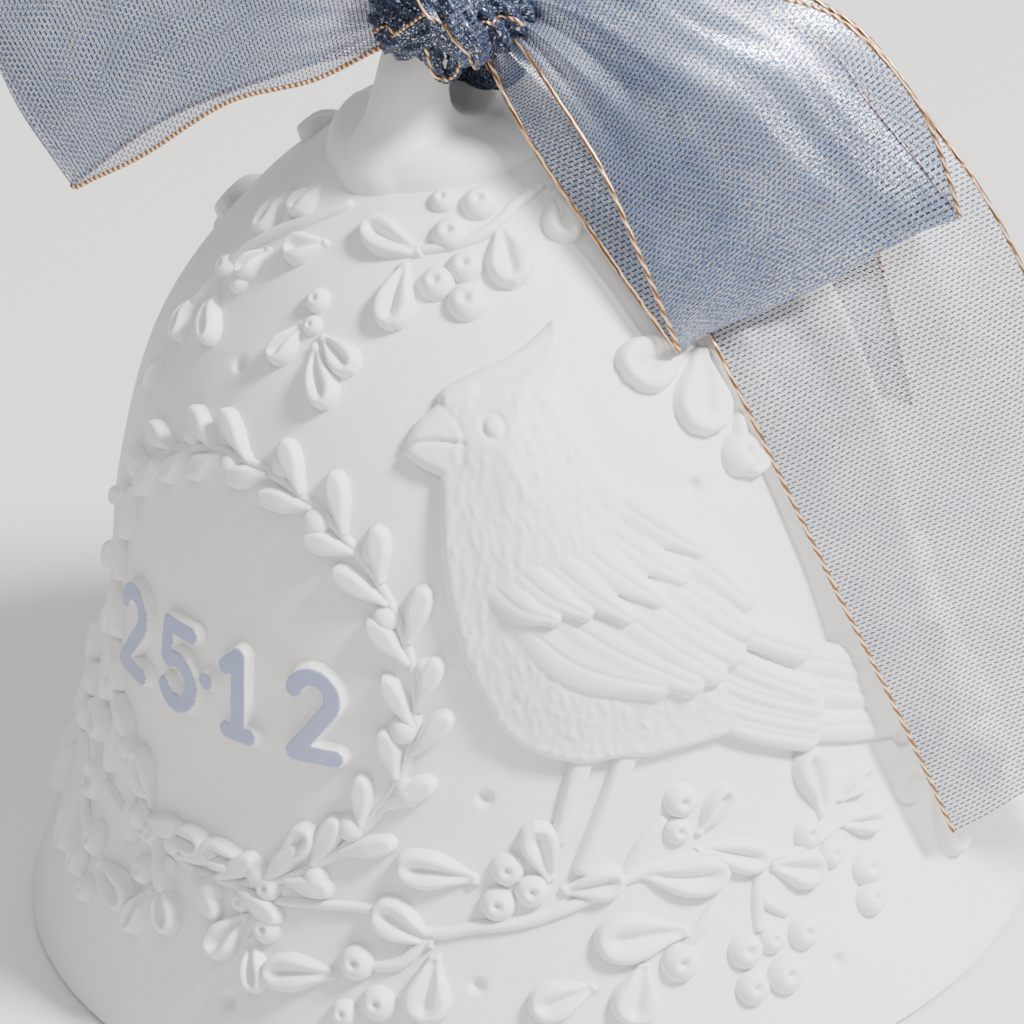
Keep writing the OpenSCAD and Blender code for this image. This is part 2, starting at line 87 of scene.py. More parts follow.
def ring_at(s):
    return np.interp(s, SKIN_S, SKIN[:, 0])


def on_skin(azimuth, s, h=0.0):
    """The point h outside the surface, at an azimuth and a length along the outline."""
    a = np.radians(azimuth)
    r = ring_at(s) - h * np.interp(s, SKIN_S, _run[:, 1])
    z = np.interp(s, SKIN_S, SKIN[:, 1]) + h * np.interp(s, SKIN_S, _run[:, 0])
    return np.stack([r * np.sin(a), -r * np.cos(a), z + 0 * a], -1)


def wrapped(azimuth, z):
    """Lays x to the side and y up the wall from one point, following the surface."""
    s0 = arc_at(z)

    def place(x, y, h):
        s = s0 - y
        return on_skin(azimuth + np.degrees(x / ring_at(s)), s, h)

    return place


def projected(azimuth, z0):
    """Lays x and y on the surface as they are seen straight from that azimuth."""

    def place(x, y, h):
        s = arc_at(z0 + y)
        across = np.degrees(np.arcsin(np.clip(x / ring_at(s), -0.97, 0.97)))
        return on_skin(azimuth + across, s, h)

    return place


# ------------ mesh building


def grid_quads(rows, cols, wrap=False):
    index = np.arange(rows * cols).reshape(rows, cols)
    if wrap:
        index = np.hstack([index, index[:, :1]])
    return np.stack([index[:-1, :-1], index[:-1, 1:], index[1:, 1:], index[1:, :-1]], -1).reshape(-1, 4)


def tube_faces(rows, ring, first=0):
    """Faces of a tube of rings, closed at both ends, counted from its first vertex."""
    last = (rows - 1) * ring
    faces = grid_quads(rows, ring, wrap=True).tolist()
    faces += [list(range(ring))[::-1], list(range(last, last + ring))]
    return [[first + i for i in face] for face in faces]


def mesh_object(name, verts, faces):
    mesh = bpy.data.meshes.new(name)
    mesh.from_pydata(verts, [], faces)
    obj = bpy.data.objects.new(name, mesh)
    bpy.context.scene.collection.objects.link(obj)
    return obj


class Pile:
    """Collects the surfaces of one piece."""

    def __init__(self):
        self.verts, self.faces, self.uvs, self.count, self.slots = [], [], [], 0, []

    def add(self, verts, faces, uv=None, slot=0):
        verts = np.asarray(verts, float).reshape(-1, 3)
        self.verts.append(verts)
        self.faces += [[int(i) + self.count for i in f] for f in faces]
        self.slots += list(slot) if hasattr(slot, "__len__") else [slot] * len(faces)
        self.uvs.append(np.zeros((len(verts), 2)) if uv is None else np.asarray(uv, float).reshape(-1, 2))
        self.count += len(verts)

    def build(self, name, materials, slot, body="bell", replaces=None):
        """Makes the piece. It replaces the CAD node of its name, or those listed."""
        replaces = [name] if replaces is None else replaces
        name += "_shown"
        obj = mesh_object(name, (np.vstack(self.verts) * MM).tolist(), self.faces)
        mesh = obj.data
        mesh.shade_smooth()
        for m in materials if isinstance(materials, (list, tuple)) else [materials]:
            mesh.materials.append(m)
        mesh.polygons.foreach_set("material_index", self.slots)
        uv = np.vstack(self.uvs)
        if uv.any():
            layer = mesh.uv_layers.new(name="cloth")
            corners = np.zeros(len(mesh.loops), np.int32)
            mesh.loops.foreach_get("vertex_index", corners)
            layer.data.foreach_set("uv", uv[corners].ravel())
        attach(obj, body)
        if replaces:
            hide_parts(*replaces)
        return obj


def height_patch(pile, xs, ys, height, place, floor=-0.22, slot=None):
    """A field of heights over the surface; what stays under it is left out."""
    x, y = np.meshgrid(xs, ys)
    h = np.maximum(height(x, y), floor)
    quads = grid_quads(*h.shape)
    flat = h.ravel()
    quads = quads[(flat[quads] > floor + 1e-6).any(axis=1)]
    used, index = np.unique(quads, return_inverse=True)
    quads = index.reshape(-1, 4)
    verts = place(x, y, h).reshape(-1, 3)[used]
    chosen = 0 if slot is None else [int(v) for v in slot(flat[used][quads].min(axis=1))]
    pile.add(verts, quads, slot=chosen)


def inside(x, y, outline):
    """Distance from each point to a closed outline, positive inside it."""
    a, b = np.asarray(outline), np.roll(outline, -1, axis=0)
    run = b - a
    length = np.maximum((run**2).sum(1), 1e-9)
    result = np.empty(x.size)
    px, py = x.ravel(), y.ravel()
    for i in range(0, x.size, 20000):
        qx, qy = px[i:i + 20000, None], py[i:i + 20000, None]
        t = np.clip(((qx - a[:, 0]) * run[:, 0] + (qy - a[:, 1]) * run[:, 1]) / length, 0, 1)
        near = np.hypot(qx - a[:, 0] - t * run[:, 0], qy - a[:, 1] - t * run[:, 1]).min(1)
        above = (a[:, 1] > qy) != (b[:, 1] > qy)
        cross = a[:, 0] + (qy - a[:, 1]) * run[:, 0] / np.where(run[:, 1] == 0, 1e-9, run[:, 1])
        odd = (above & (qx < cross)).sum(1) % 2
        result[i:i + 20000] = np.where(odd == 1, near, -near)
    return result.reshape(x.shape)


def along(x, y, line):
    """How far along a line each point is (0 to 1), and its distance to the side."""
    best, part, off = np.full(x.shape, 1e9), np.zeros(x.shape), np.zeros(x.shape)
    steps = np.linalg.norm(np.diff(line, axis=0), axis=1)
    total = steps.sum()
    done = 0.0
    for a, b, step in zip(line, line[1:], steps):
        d = (b - a) / step
        u = np.clip((x - a[0]) * d[0] + (y - a[1]) * d[1], 0, step)
        gx, gy = x - a[0] - u * d[0], y - a[1] - u * d[1]
        gap = np.hypot(gx, gy)
        closer = gap < best
        best = np.where(closer, gap, best)
        part = np.where(closer, (done + u) / total, part)
        off = np.where(closer, gap * np.sign(d[0] * gy - d[1] * gx + 1e-12), off)
        done += step
    return part, off, best


def ease(x):
    x = np.clip(x, 0, 1)
    return x * x * (3 - 2 * x)


def rounded(e, width):
    """Height of a rounded edge, 0 at the edge and 1 from width inwards; falls away outside."""
    q = np.clip(e / width, 0, 1)
    return np.where(e > 0, np.sqrt(np.maximum(1 - (1 - q) ** 2, 0)), e * 2.2)


# ------------ materials


class Nodes:
    """One material: its shader and the nodes that feed it."""

    def __init__(self, name):
        self.material = bpy.data.materials.new(name)
        self.material.use_nodes = True
        self.tree = self.material.node_tree
        self.shader = self.tree.nodes["Principled BSDF"]

    def node(self, kind, inputs=None, **settings):
        n = self.tree.nodes.new(kind)
        for k, v in settings.items():
            setattr(n, k, v)
        for k, v in (inputs or {}).items():
            if isinstance(v, bpy.types.NodeSocket):
                self.tree.links.new(v, n.inputs[k])
            else:
                n.inputs[k].default_value = v
        return n

    def noise(self, scale, detail, rough, vector):
        inputs = {"Scale": scale, "Detail": detail, "Roughness": rough, "Vector": vector}
        return self.node("ShaderNodeTexNoise", inputs).outputs["Fac"]

    def math(self, operation, a, b=0.0, c=0.0, clamp=False):
        n = self.node("ShaderNodeMath", {0: a, 1: b, 2: c}, operation=operation, use_clamp=clamp)
        return n.outputs[0]

    def ramp(self, value, stops):
        n = self.node("ShaderNodeValToRGB", {"Fac": value})
        for element, (at, colour) in zip(n.color_ramp.elements, (stops[0], stops[-1])):
            element.position, element.color = at, (*colour, 1)
        for at, colour in stops[1:-1]:
            n.color_ramp.elements.new(at).color = (*colour, 1)
        return n.outputs["Color"]

    def mix(self, factor, a, b, blend="MIX"):
        n = self.node("ShaderNodeMix", {"Factor": factor}, data_type="RGBA", blend_type=blend)
        for key, value in (("A", a), ("B", b)):
            socket = next(s for s in n.inputs if s.name == key and s.type == "RGBA")
            if isinstance(value, bpy.types.NodeSocket):
                self.tree.links.new(value, socket)
            else:
                socket.default_value = (*value, 1)
        return next(s for s in n.outputs if s.type == "RGBA")

    def place(self):
        return self.node("ShaderNodeTexCoord").outputs["Object"]

    def link(self, source, socket):
        self.tree.links.new(source, self.shader.inputs[socket])

    def bump(self, height, distance, strength=1.0):
        n = self.node("ShaderNodeBump", {"Height": height, "Distance": distance, "Strength": strength})
        self.link(n.outputs[0], "Normal")


def bisque(name, light, dark, rough=0.62):
    """Unglazed porcelain: faint mottling, a fine tooth, soft light under the skin."""
    m = Nodes(name)
    where = m.place()
    cloud = m.noise(55, 4, 0.6, where)
    speck = m.noise(2600, 2, 0.5, where)
    colour = m.ramp(cloud, [(0.3, dark), (0.7, light)])
    grain = m.ramp(speck, [(0.35, (0.45, 0.44, 0.42)), (0.65, (1, 1, 1))])
    m.link(m.mix(0.06, colour, grain, "MULTIPLY"), "Base Color")
    m.link(m.math("MULTIPLY_ADD", cloud, 0.16, rough - 0.08), "Roughness")
    m.shader.inputs["Subsurface Weight"].default_value = 0.12
    m.shader.inputs["Subsurface Radius"].default_value = (1.0, 0.9, 0.8)
    m.shader.inputs["Subsurface Scale"].default_value = 0.0012
    m.shader.inputs["Specular IOR Level"].default_value = 0.35
    m.shader.inputs["Sheen Weight"].default_value = 0.05
    tooth = m.math("MULTIPLY_ADD", m.noise(420, 3, 0.6, where), 0.6, speck)
    m.bump(tooth, 0.00003, 0.5)
    return m.material


def organza(name, cover, pale, deep, dim=0.0):
    """Sheer woven ribbon: dark weft dashes in staggered rows over silvery threads, see-through between them.
    The UV map is in millimetres, across and along the ribbon. dim holds back the silver and copper glints."""
    m = Nodes(name)
    uv = m.node("ShaderNodeUVMap", uv_map="cloth").outputs["UV"]
    sides = m.node("ShaderNodeSeparateXYZ", {"Vector": uv})
    across, length = sides.outputs["X"], sides.outputs["Y"]
    rows = m.math("DIVIDE", length, 0.37)
    shift = m.math("MULTIPLY", m.math("MODULO", m.math("FLOOR", rows), 2.0), 0.5)
    columns = m.math("ADD", m.math("DIVIDE", across, 0.56), shift)
    dash = m.math("MULTIPLY", m.math("LESS_THAN", m.math("FRACT", rows), 0.34),
                  m.math("LESS_THAN", m.math("FRACT", columns), 0.7))
    warp = m.math("LESS_THAN", m.math("FRACT", m.math("DIVIDE", across, 0.28)), 0.3)
    soft = m.noise(0.3, 3, 0.55, uv)
    fine = m.noise(3.6, 2, 0.85, uv)
    glint = m.math("GREATER_THAN", fine, 0.52 + dim)
    low, high = [tuple(c * f for c in deep) for f in (0.7, 1.3)]
    thread = m.ramp(soft, [(0.3, low), (0.7, high)])
    silver = m.ramp(fine, [(0.36, tuple(c * 0.55 for c in pale)), (0.49 + dim, pale),
                           (0.55 + dim, (0.80, 0.83, 0.90)), (0.61 + dim, (0.66, 0.42, 0.27))])
    # Broad random patches darken the ribbon: painted shade that stands in for the shade in its folds.
    painted_shade = m.ramp(m.noise(0.11, 3, 0.6, uv), [(0.36, (0.5, 0.56, 0.68)), (0.62, (1, 1, 1))])
    m.link(m.mix(0.85, m.mix(dash, silver, thread), painted_shade, "MULTIPLY"), "Base Color")
    m.link(m.math("MULTIPLY_ADD", glint, 0.5, 0.35), "Metallic")
    m.link(m.math("MULTIPLY_ADD", glint, -0.25, 0.5), "Roughness")
    m.shader.inputs["Sheen Weight"].default_value = 0.3
    m.shader.inputs["Sheen Roughness"].default_value = 0.35
    m.shader.inputs["Sheen Tint"].default_value = (0.45, 0.6, 0.95, 1)
    m.bump(m.math("MULTIPLY_ADD", dash, 0.7, m.math("MULTIPLY", fine, 0.6)), 0.00005, 0.8)
    facing = m.node("ShaderNodeLayerWeight", {"Blend": 0.3}).outputs["Facing"]
    base = m.math("MULTIPLY_ADD", warp, 0.22, cover)
    alpha = m.math("MAXIMUM", m.math("MULTIPLY", dash, 0.92), base)
    m.link(m.math("MULTIPLY_ADD", facing, 0.5, alpha, clamp=True), "Alpha")
    return m.material


def gold_thread():
    m = Nodes("copper_gold_thread")
    where = m.place()
    wave = m.node("ShaderNodeTexWave", {"Vector": where, "Scale": 900.0, "Distortion": 3.0, "Detail": 2.0},
                  bands_direction="DIAGONAL").outputs["Fac"]
    strands = [(0.2, (0.20, 0.10, 0.05)), (0.6, (0.50, 0.30, 0.16)), (0.92, (0.9, 0.66, 0.42))]
    m.link(m.ramp(wave, strands), "Base Color")
    m.shader.inputs["Metallic"].default_value = 0.75
    m.shader.inputs["Roughness"].default_value = 0.38
    m.bump(wave, 0.00006, 0.7)
    return m.material


def metal(name, colour, rough, scratch):
    m = Nodes(name)
    where = m.place()
    stretched = m.node("ShaderNodeMapping", {"Vector": where, "Scale": (1, 1, 0.12)}).outputs[0]
    streak = m.noise(900, 4, 0.6, stretched)
    stain = m.noise(140, 3, 0.5, where)
    dull = tuple(c * 0.72 for c in colour)
    m.link(m.ramp(stain, [(0.35, dull), (0.65, colour)]), "Base Color")
    m.shader.inputs["Metallic"].default_value = 1.0
    m.link(m.math("MULTIPLY_ADD", streak, scratch, rough), "Roughness")
    m.bump(streak, 0.00001, 0.4)
    return m.material


WHITE = bisque("bisque_white", (0.80, 0.795, 0.785), (0.765, 0.76, 0.75))
BLUE = bisque("bisque_lavender", (0.36, 0.39, 0.58), (0.29, 0.33, 0.52), 0.5)
CLOTH = organza("organza_loop", 0.55, (0.17, 0.24, 0.40), (0.015, 0.035, 0.10))
CLOTH_PALE = organza("organza_tail", 0.4, (0.74, 0.76, 0.79), (0.03, 0.05, 0.10))
# The gathered knot's ribbon has near-black threads: partly the darkness of its many layers, partly painted
# shade among its folds.
CLOTH_DENSE_SHADED = organza("organza_gathered", 0.97, (0.02, 0.035, 0.085), (0.004, 0.008, 0.022), 0.07)
GOLD = gold_thread()
WIRE = metal("drawn_steel_wire", (0.62, 0.62, 0.63), 0.28, 0.2)
BALL = metal("polished_ball", (0.70, 0.69, 0.67), 0.16, 0.14)

# ------------ shell

# Azimuth and height of the small round pits in the shell
DIMPLES = [(41, 25), (39, 10.5), (78, 46.5), (-9, 54.5), (7, 6.5), (84, 6.5), (-41, 25), (-39, 10.5),
           (-78, 46.5)]
DIMPLE_R, DIMPLE_DEEP = 0.6, 0.62


def crowded(base, centres, step, reach=7):
    """Base values, with close steps round each centre."""
    extra = [c + step * k for c in centres for k in range(-reach, reach + 1)]
    values = np.sort(np.concatenate([base, extra]))
    return values[np.concatenate([[True], np.diff(values) > step * 0.45])]


def bell_shell():
    total = SKIN_S[-1] - 0.5
    s = crowded(np.linspace(0.3, total, 110), sorted({float(arc_at(z)) for _, z in DIMPLES}), 0.16)
    s = s[(s >= 0.29) & (s <= total)]
    step = math.degrees(0.16 / 35)
    az = crowded(np.linspace(-180, 180, 241)[:-1], [a for a, _ in DIMPLES], step)
    gs, ga = np.meshgrid(s, az, indexing="ij")
    h = np.zeros(gs.shape)
    for a, z in DIMPLES:
        d = np.hypot((ga - a) * math.pi / 180 * ring_at(gs), gs - arc_at(z))
        h -= DIMPLE_DEEP * np.exp(-((d / DIMPLE_R) ** 3.2))
    outer = on_skin(ga, gs, h)
    # Down round the lip and up the inside
    inner = bell_curve(LIP_R - WALL, BODY_H - CROWN_WALL, 7)[::-1]
    lip = [(LIP_R - 0.12, 0.22), (LIP_R - 0.38, 0.05), (LIP_R - 0.75, 0), (LIP_R - WALL + 0.75, 0),
           (LIP_R - WALL + 0.38, 0.05), (LIP_R - WALL + 0.12, 0.22)]
    profile = np.array(lip + [tuple(p) for p in inner[1:-1]])
    a = np.radians(az)
    rest = np.stack([profile[:, :1] * np.sin(a), -profile[:, :1] * np.cos(a), profile[:, 1:] + 0 * a], -1)
    verts = np.concatenate([outer, rest]).reshape(-1, 3)
    rows, cols = len(s) + len(profile), len(az)
    faces = grid_quads(rows, cols, wrap=True)[:, ::-1].tolist()
    crown, ceiling = len(verts), len(verts) + 1
    verts = np.vstack([verts, [0, 0, BODY_H], [0, 0, BODY_H - CROWN_WALL]])
    last = (rows - 1) * cols
    for k in range(cols):
        n = (k + 1) % cols
        faces.append([crown, k, n])
        faces.append([ceiling, last + n, last + k])
    pile = Pile()
    pile.add(verts, faces)
    return pile.build("bell_shell", WHITE, "porcelain")


# ------------ lug

HOLE_Z, HOLE_R = 71.9, 1.95
LUG_SHIFT = np.array([-1.0, -1.9, 0])


def evaluated(obj):
    bpy.context.view_layer.update()
    deps = bpy.context.evaluated_depsgraph_get()
    return bpy.data.meshes.new_from_object(obj.evaluated_get(deps))


def hanger_lug():
    # Height, half width along Y, half thickness along X, and how square the section is
    sections = np.array([
        [61.0, 10.6, 7.0, 2.2], [66.4, 10.4, 6.4, 2.2], [67.8, 9.9, 5.0, 2.4], [69.0, 9.1, 3.8, 2.8],
        [70.6, 7.7, 3.2, 3.2], [72.8, 6.5, 3.0, 3.2], [75.0, 5.5, 2.9, 3.0], [76.8, 4.3, 2.7, 2.6],
        [77.9, 2.7, 2.0, 2.2], [78.3, 0.9, 0.7, 2.0]])
    fine = spline(sections, 5)
    ring = np.radians(np.arange(0, 360, 7.5))
    verts = []
    for z, w, t, power in fine:
        c, s = np.cos(ring), np.sin(ring)
        x, y = (half * np.sign(v) * np.abs(v) ** (2 / power) for half, v in ((t, c), (w, s)))
        verts.append(np.stack([x, y, z + 0 * c], -1))
    cols = len(ring)
    faces = tube_faces(len(fine), cols)
    verts = np.vstack(verts)
    # A low round plinth under it
    disc = np.array([[10.2, 61.0], [9.9, 66.0], [9.5, 67.6], [8.9, 68.5], [8.0, 69.0], [6.6, 69.1]])
    base = len(verts)
    for r, z in disc:
        verts = np.vstack([verts, np.stack([r * np.cos(ring), r * np.sin(ring), z + 0 * ring], -1)])
    faces += tube_faces(len(disc), cols, base)
    rough = mesh_object("lug_rough", verts.tolist(), faces)
    turn = np.radians(np.arange(0, 360, 7.5))
    wide = np.array([[-9, 3.8], [-3.4, 2.5], [-1.5, HOLE_R], [1.5, HOLE_R], [3.4, 2.5], [9, 3.8]])
    hole = np.vstack([np.stack([x + 0 * turn, r * np.cos(turn), HOLE_Z + r * np.sin(turn)], -1)
                      for x, r in wide])
    cutter = mesh_object("hole_cutter", hole.tolist(), tube_faces(len(wide), len(turn)))
    first = rough.modifiers.new("join", "REMESH")
    first.mode, first.voxel_size = "VOXEL", 0.28
    cut = rough.modifiers.new("hole", "BOOLEAN")
    cut.object, cut.operation, cut.solver = cutter, "DIFFERENCE", "EXACT"
    second = rough.modifiers.new("even", "REMESH")
    second.mode, second.voxel_size = "VOXEL", 0.2
    soft = rough.modifiers.new("soft", "SMOOTH")
    soft.factor, soft.iterations = 0.5, 14
    result = evaluated(rough)
    co = np.zeros(len(result.vertices) * 3)
    result.vertices.foreach_get("co", co)
    faces = [list(p.vertices) for p in result.polygons]
    pile = Pile()
    pile.add(co.reshape(-1, 3) + LUG_SHIFT, faces)
    for o in (rough, cutter):
        bpy.data.objects.remove(o)
    return pile.build("hanger_lug", WHITE, "porcelain")


# ------------ leaves, berries and stems


def leaf_line(length, width, foot):
    """Closed outline of a spoon-shaped leaf along +X."""
    t = np.linspace(0, 1, 22)
    body = foot + (1 - foot) * ease(np.minimum(t / 0.66, 1))
    tip = np.sqrt(np.maximum(1 - (np.maximum(t - 0.66, 0) / 0.34) ** 2.2, 0))
    half = width / 2 * body * tip
    top = np.stack([t * length, half], -1)
    return np.vstack([top, (top * [1, -1])[::-1][1:-1]])


def add_leaf(pile, azimuth, z, direction, length, width, veined=True, bend=0.0, height=1.0, mirror=1):
    outline = leaf_line(length, width, 0.26 if veined else 0.34)
    spacing = 0.15
    xs = np.arange(-0.3, length + 0.31, spacing)
    ys = np.arange(-width / 2 - 0.3, width / 2 + 0.31, spacing)

    def heights(u, v):
        edge = inside(u, v, outline)
        h = height * rounded(edge, min(0.62, width * 0.24))
        if veined:
            reach = ease(u / (0.16 * length)) * ease((length * 0.93 - u) / (0.22 * length))
            h -= height * 0.5 * reach * np.exp(-((v / (0.115 * width)) ** 2))
            h -= height * 0.16 * reach * np.exp(-((v / (0.28 * width)) ** 2))
        return np.where(edge > 0, h * (0.72 + 0.28 * ease(u / (0.6 * length))), h)

    place = wrapped(azimuth, z)

    def bent(u, v, h):
        turn = np.radians(direction) + bend * np.clip(u / length, 0, 1.2)
        if abs(bend) > 1e-3:
            k = bend / length
            base = np.radians(direction)
            cx, cy = (np.sin(base + k * u) - math.sin(base)) / k, -(np.cos(base + k * u) - math.cos(base)) / k
        else:
            cx, cy = u * math.cos(turn[0, 0]), u * math.sin(turn[0, 0])
        p = place(cx - v * np.sin(turn), cy + v * np.cos(turn), h)
        return p * [mirror, 1, 1]

    at = len(pile.faces)
    height_patch(pile, xs, ys, heights, bent)
    if mirror < 0:
        pile.faces[at:] = [f[::-1] for f in pile.faces[at:]]


def add_berry(pile, azimuth, z, radius, pitted=True):
    polar = np.radians(np.linspace(0, 112, 15))[1:]
    spin = np.radians(np.arange(0, 360, 15))
    a = math.radians(azimuth)
    s = float(arc_at(z))
    centre = on_skin(azimuth, s, -0.05 * radius)
    out = on_skin(azimuth, s, 1.0) - on_skin(azimuth, s, 0.0)
    side = np.array([math.cos(a), math.sin(a), 0])
    up = np.cross(out, side)
    pit = 0.5 if pitted else 0.0

    def ball(p):
        return radius * (1 - pit * np.exp(-((p / 0.26) ** 3)))

    verts = [centre + out * float(ball(0.0))]
    for p in polar:
        d = ball(p)
        verts += [centre + d * (math.cos(p) * out + math.sin(p) * (math.cos(t) * side + math.sin(t) * up))
                  for t in spin]
    n = len(spin)
    faces = [[0, 1 + k, 1 + (k + 1) % n] for k in range(n)]
    faces += (grid_quads(len(polar), n, wrap=True) + 1)[:, ::-1].tolist()
    pile.add(np.array(verts), faces)


def tube(pile, line, normals, wide, high, ring=10):
    """A round or flattened bar along a line, closed at its ends. wide and high are half sizes."""
    line, normals = np.asarray(line, float), np.asarray(normals, float)
    run = np.gradient(line, axis=0)
    run /= np.maximum(np.linalg.norm(run, axis=1), 1e-9)[:, None]
    side = np.cross(run, normals)
    side /= np.maximum(np.linalg.norm(side, axis=1), 1e-9)[:, None]
    out = np.cross(side, run)
    t = np.radians(np.arange(ring) * 360 / ring)
    wide, high = np.broadcast_to(wide, len(line)), np.broadcast_to(high, len(line))
    verts = (line[:, None] + wide[:, None, None] * np.cos(t)[None, :, None] * side[:, None]
             + high[:, None, None] * np.sin(t)[None, :, None] * out[:, None])
    pile.add(verts, [face[::-1] for face in tube_faces(len(line), ring)])


def add_stem(pile, path, wide=0.55, high=0.75, mirror=1):
    p = spline(path, 7)
    s = arc_at(p[:, 1])
    line = on_skin(mirror * p[:, 0], s, -0.05)
    normals = on_skin(mirror * p[:, 0], s, 1.0) - on_skin(mirror * p[:, 0], s, 0.0)
    grow = 0.55 + 0.45 * np.sin(np.linspace(0.25, math.pi - 0.25, len(p)))
    tube(pile, line, normals, wide * grow, high * grow)


# ------------ wreath

WREATH_Z, WREATH_R, WREATH_PAIRS = 32.0, 17.0, 22
WREATH_LEAF, WREATH_SPREAD, WREATH_BERRY_R = (5.1, 2.0), 32, 1.15


def wreath_point(angle, aside=0.0):
    """Azimuth and height of a point on the wreath's ring, or aside from it."""
    z = WREATH_Z + (WREATH_R + aside) * math.sin(angle)
    r = float(ring_at(arc_at(z)))
    return math.degrees(math.asin((WREATH_R + aside) * math.cos(angle) / r)), z


def wreath():
    stem, leaves, berries = Pile(), Pile(), Pile()
    ring = [wreath_point(math.radians(a)) for a in range(0, 361, 4)]
    az, z = np.array(ring).T
    s = arc_at(z)
    normals = on_skin(az, s, 1.0) - on_skin(az, s, 0.0)
    tube(stem, on_skin(az, s, -0.05), normals, 0.42, 0.5)
    for i in range(WREATH_PAIRS):
        for side in (-1, 1):
            angle = 360 / WREATH_PAIRS * (i + side * 0.2) + random.uniform(-1.5, 1.5)
            a, h = wreath_point(math.radians(angle))
            lean = angle + 90 - side * WREATH_SPREAD + random.uniform(-6, 6)
            long = WREATH_LEAF[0] * random.uniform(0.9, 1.08)
            wide = WREATH_LEAF[1] * random.uniform(0.93, 1.07)
            add_leaf(leaves, a, h, lean, long, wide, veined=False, height=1.1)
        a, h = wreath_point(math.radians(360 / WREATH_PAIRS * (i - 0.3)), 1.0 if i % 2 else -0.8)
        add_berry(berries, a, h, WREATH_BERRY_R * random.uniform(0.92, 1.08), pitted=False)
    stem.build("wreath_stem", WHITE, "porcelain")
    leaves.build("wreath_leaves", WHITE, "porcelain")
    berries.build("wreath_berries", WHITE, "porcelain")


# ------------ branch and crown sprigs

# Foot azimuth, foot height, direction, length, width and, where it curves, the bend in degrees
BRANCH_LEAVES = [
    [9, 17, 178, 5.5, 2.2], [12, 17.5, 55, 5, 2.2], [8, 13.5, -125, 5, 2.4], [9, 12, -72, 4.5, 2.1],
    [22, 10.5, 180, 6.5, 2.6, 20], [34, 13.5, 150, 5.5, 2.9], [40, 18.5, 160, 6.5, 2.7, 25],
    [49, 18, 100, 5, 2.7], [50, 17.3, 4, 5, 2.4], [69, 19.5, 45, 4.5, 1.8], [60, 18, -25, 7.5, 2.8, 22],
    [68, 18.5, -15, 6.5, 2.4, -20], [78, 15.5, -25, 5, 2.7], [88, 17, 87, 6, 2.7, 15], [91, 17.5, 15, 4, 1.7],
    [90, 16, -20, 4.5, 1.9], [66, 12.6, 170, 7.5, 3.4, 15], [59.5, 11.2, -112, 5, 3.2],
    [53.5, 10, -165, 5.5, 2.7], [34, 13, -100, 5.5, 3.1]]
BRANCH_BERRIES = [
    [10.7, 15.9, 1.1], [6.8, 14.2, 0.9], [11.2, 12.8, 1.2], [43.5, 19.4, 1.3], [46.5, 17.6, 1.3],
    [42, 16.7, 1.35],
    [67.5, 22.7, 1.35], [66.5, 20.4, 1.1], [84.8, 16.5, 1.2], [87.6, 14.2, 1.1], [92.2, 11.8, 1.35],
    [91.2, 9.6, 1.35], [72.2, 10, 1.4], [76, 10.1, 1.1], [80.3, 9.7, 1.3], [76.5, 7.3, 1.5], [72, 7.2, 1.35],
    [63.8, 10.5, 1.5], [24, 11.7, 1.4], [27, 8.9, 1.4], [22.8, 7.8, 1.1]]
BRANCH_STEMS = [
    [[12, 15], [19, 15.6], [26, 15.8], [33, 14.4], [39, 14.9], [45, 15.2], [52, 16.2], [58, 17.5], [64, 18],
     [70, 18], [77, 16.2], [84, 15.6], [91, 16]],
    [[58, 17.5], [61.5, 20], [65, 21.6]], [[77, 16], [75.5, 13.5], [74.5, 11]], [[75.5, 13.5], [79, 11.5]],
    [[70, 14.2], [67, 12.6], [64.5, 11.5]], [[33, 14], [29.5, 12], [25.5, 11.5]]]
# What lies beyond the first azimuth comes again, turned by the second
BACK_FROM, BACK_TURN = 30, 76
# How much longer, wider and higher the leaves are than listed, and the berries larger
LEAF_LONG, LEAF_WIDE, LEAF_HIGH, BERRY_GROWTH = 1.06, 1.22, 1.35, 1.06

CROWN_LEAVES = [
    [-2, 63, -145, 4, 2.2], [-23, 65.2, -80, 3.5, 2.1], [-35, 64, -60, 5, 1.9], [-20, 61.2, -105, 3.5, 1.9],
    [-30, 57, -35, 5.5, 1.8], [-37, 55.5, -45, 4.5, 1.6], [-33, 51.5, -85, 3.5, 1.6],
    [3, 58.5, -110, 4, 1.8], [8, 58, -20, 4.5, 2.1, -20], [7, 57.5, -55, 5.5, 2.2],
    [29, 63.5, 172, 5.5, 2.7, -15], [24, 63, -90, 5.5, 2.7], [52, 65, -85, 5.5, 2.9],
    [75, 66, -105, 4.5, 2.4],
    [88, 55.5, 178, 6.5, 3.8, 18], [90, 55, -130, 7, 4, 25], [92, 51, -105, 6, 3],
    [118, 64, -150, 5, 2.4], [120, 62, -95, 5.5, 2.6], [124, 64.5, -40, 5, 2.4],
    [145, 59, -120, 5, 2.2], [149, 58.5, -60, 5, 2.2], [152, 62, -20, 4.5, 2.2], [172, 64.5, -90, 5, 2.6]]
CROWN_BERRIES = [
    [-31.5, 58.3, 1], [-22.2, 58.5, 1],
    [4, 59.9, 1], [5.2, 58.4, 0.8], [32, 66.2, 1], [46, 66, 1.35], [36, 64.5, 1.35], [41, 62.8, 1.3],
    [33.8, 61.9, 1.35], [41.5, 60.9, 1.5], [87.8, 47.4, 1.7], [116, 66, 1.2], [126, 62, 1.3],
    [130, 64, 1.2], [146, 61, 1.1], [160, 65.5, 1.3], [165, 63.5, 1.2]]
CROWN_STEMS = [
    [[-3, 65.2], [-14, 63.5], [-24, 61.5], [-31, 58.5], [-35, 54]],
    [[72, 66.4], [60, 65.8], [48, 64.6], [38, 64], [27, 63.6]], [[90, 55.5], [91.5, 52], [92, 49]],
    [[112, 65.8], [120, 64.4], [128, 64.6]], [[140, 61.5], [147, 60], [154, 62.5]]]
# The sprigs beyond this azimuth are mirrored to the other side
CROWN_MIRROR_FROM = 60


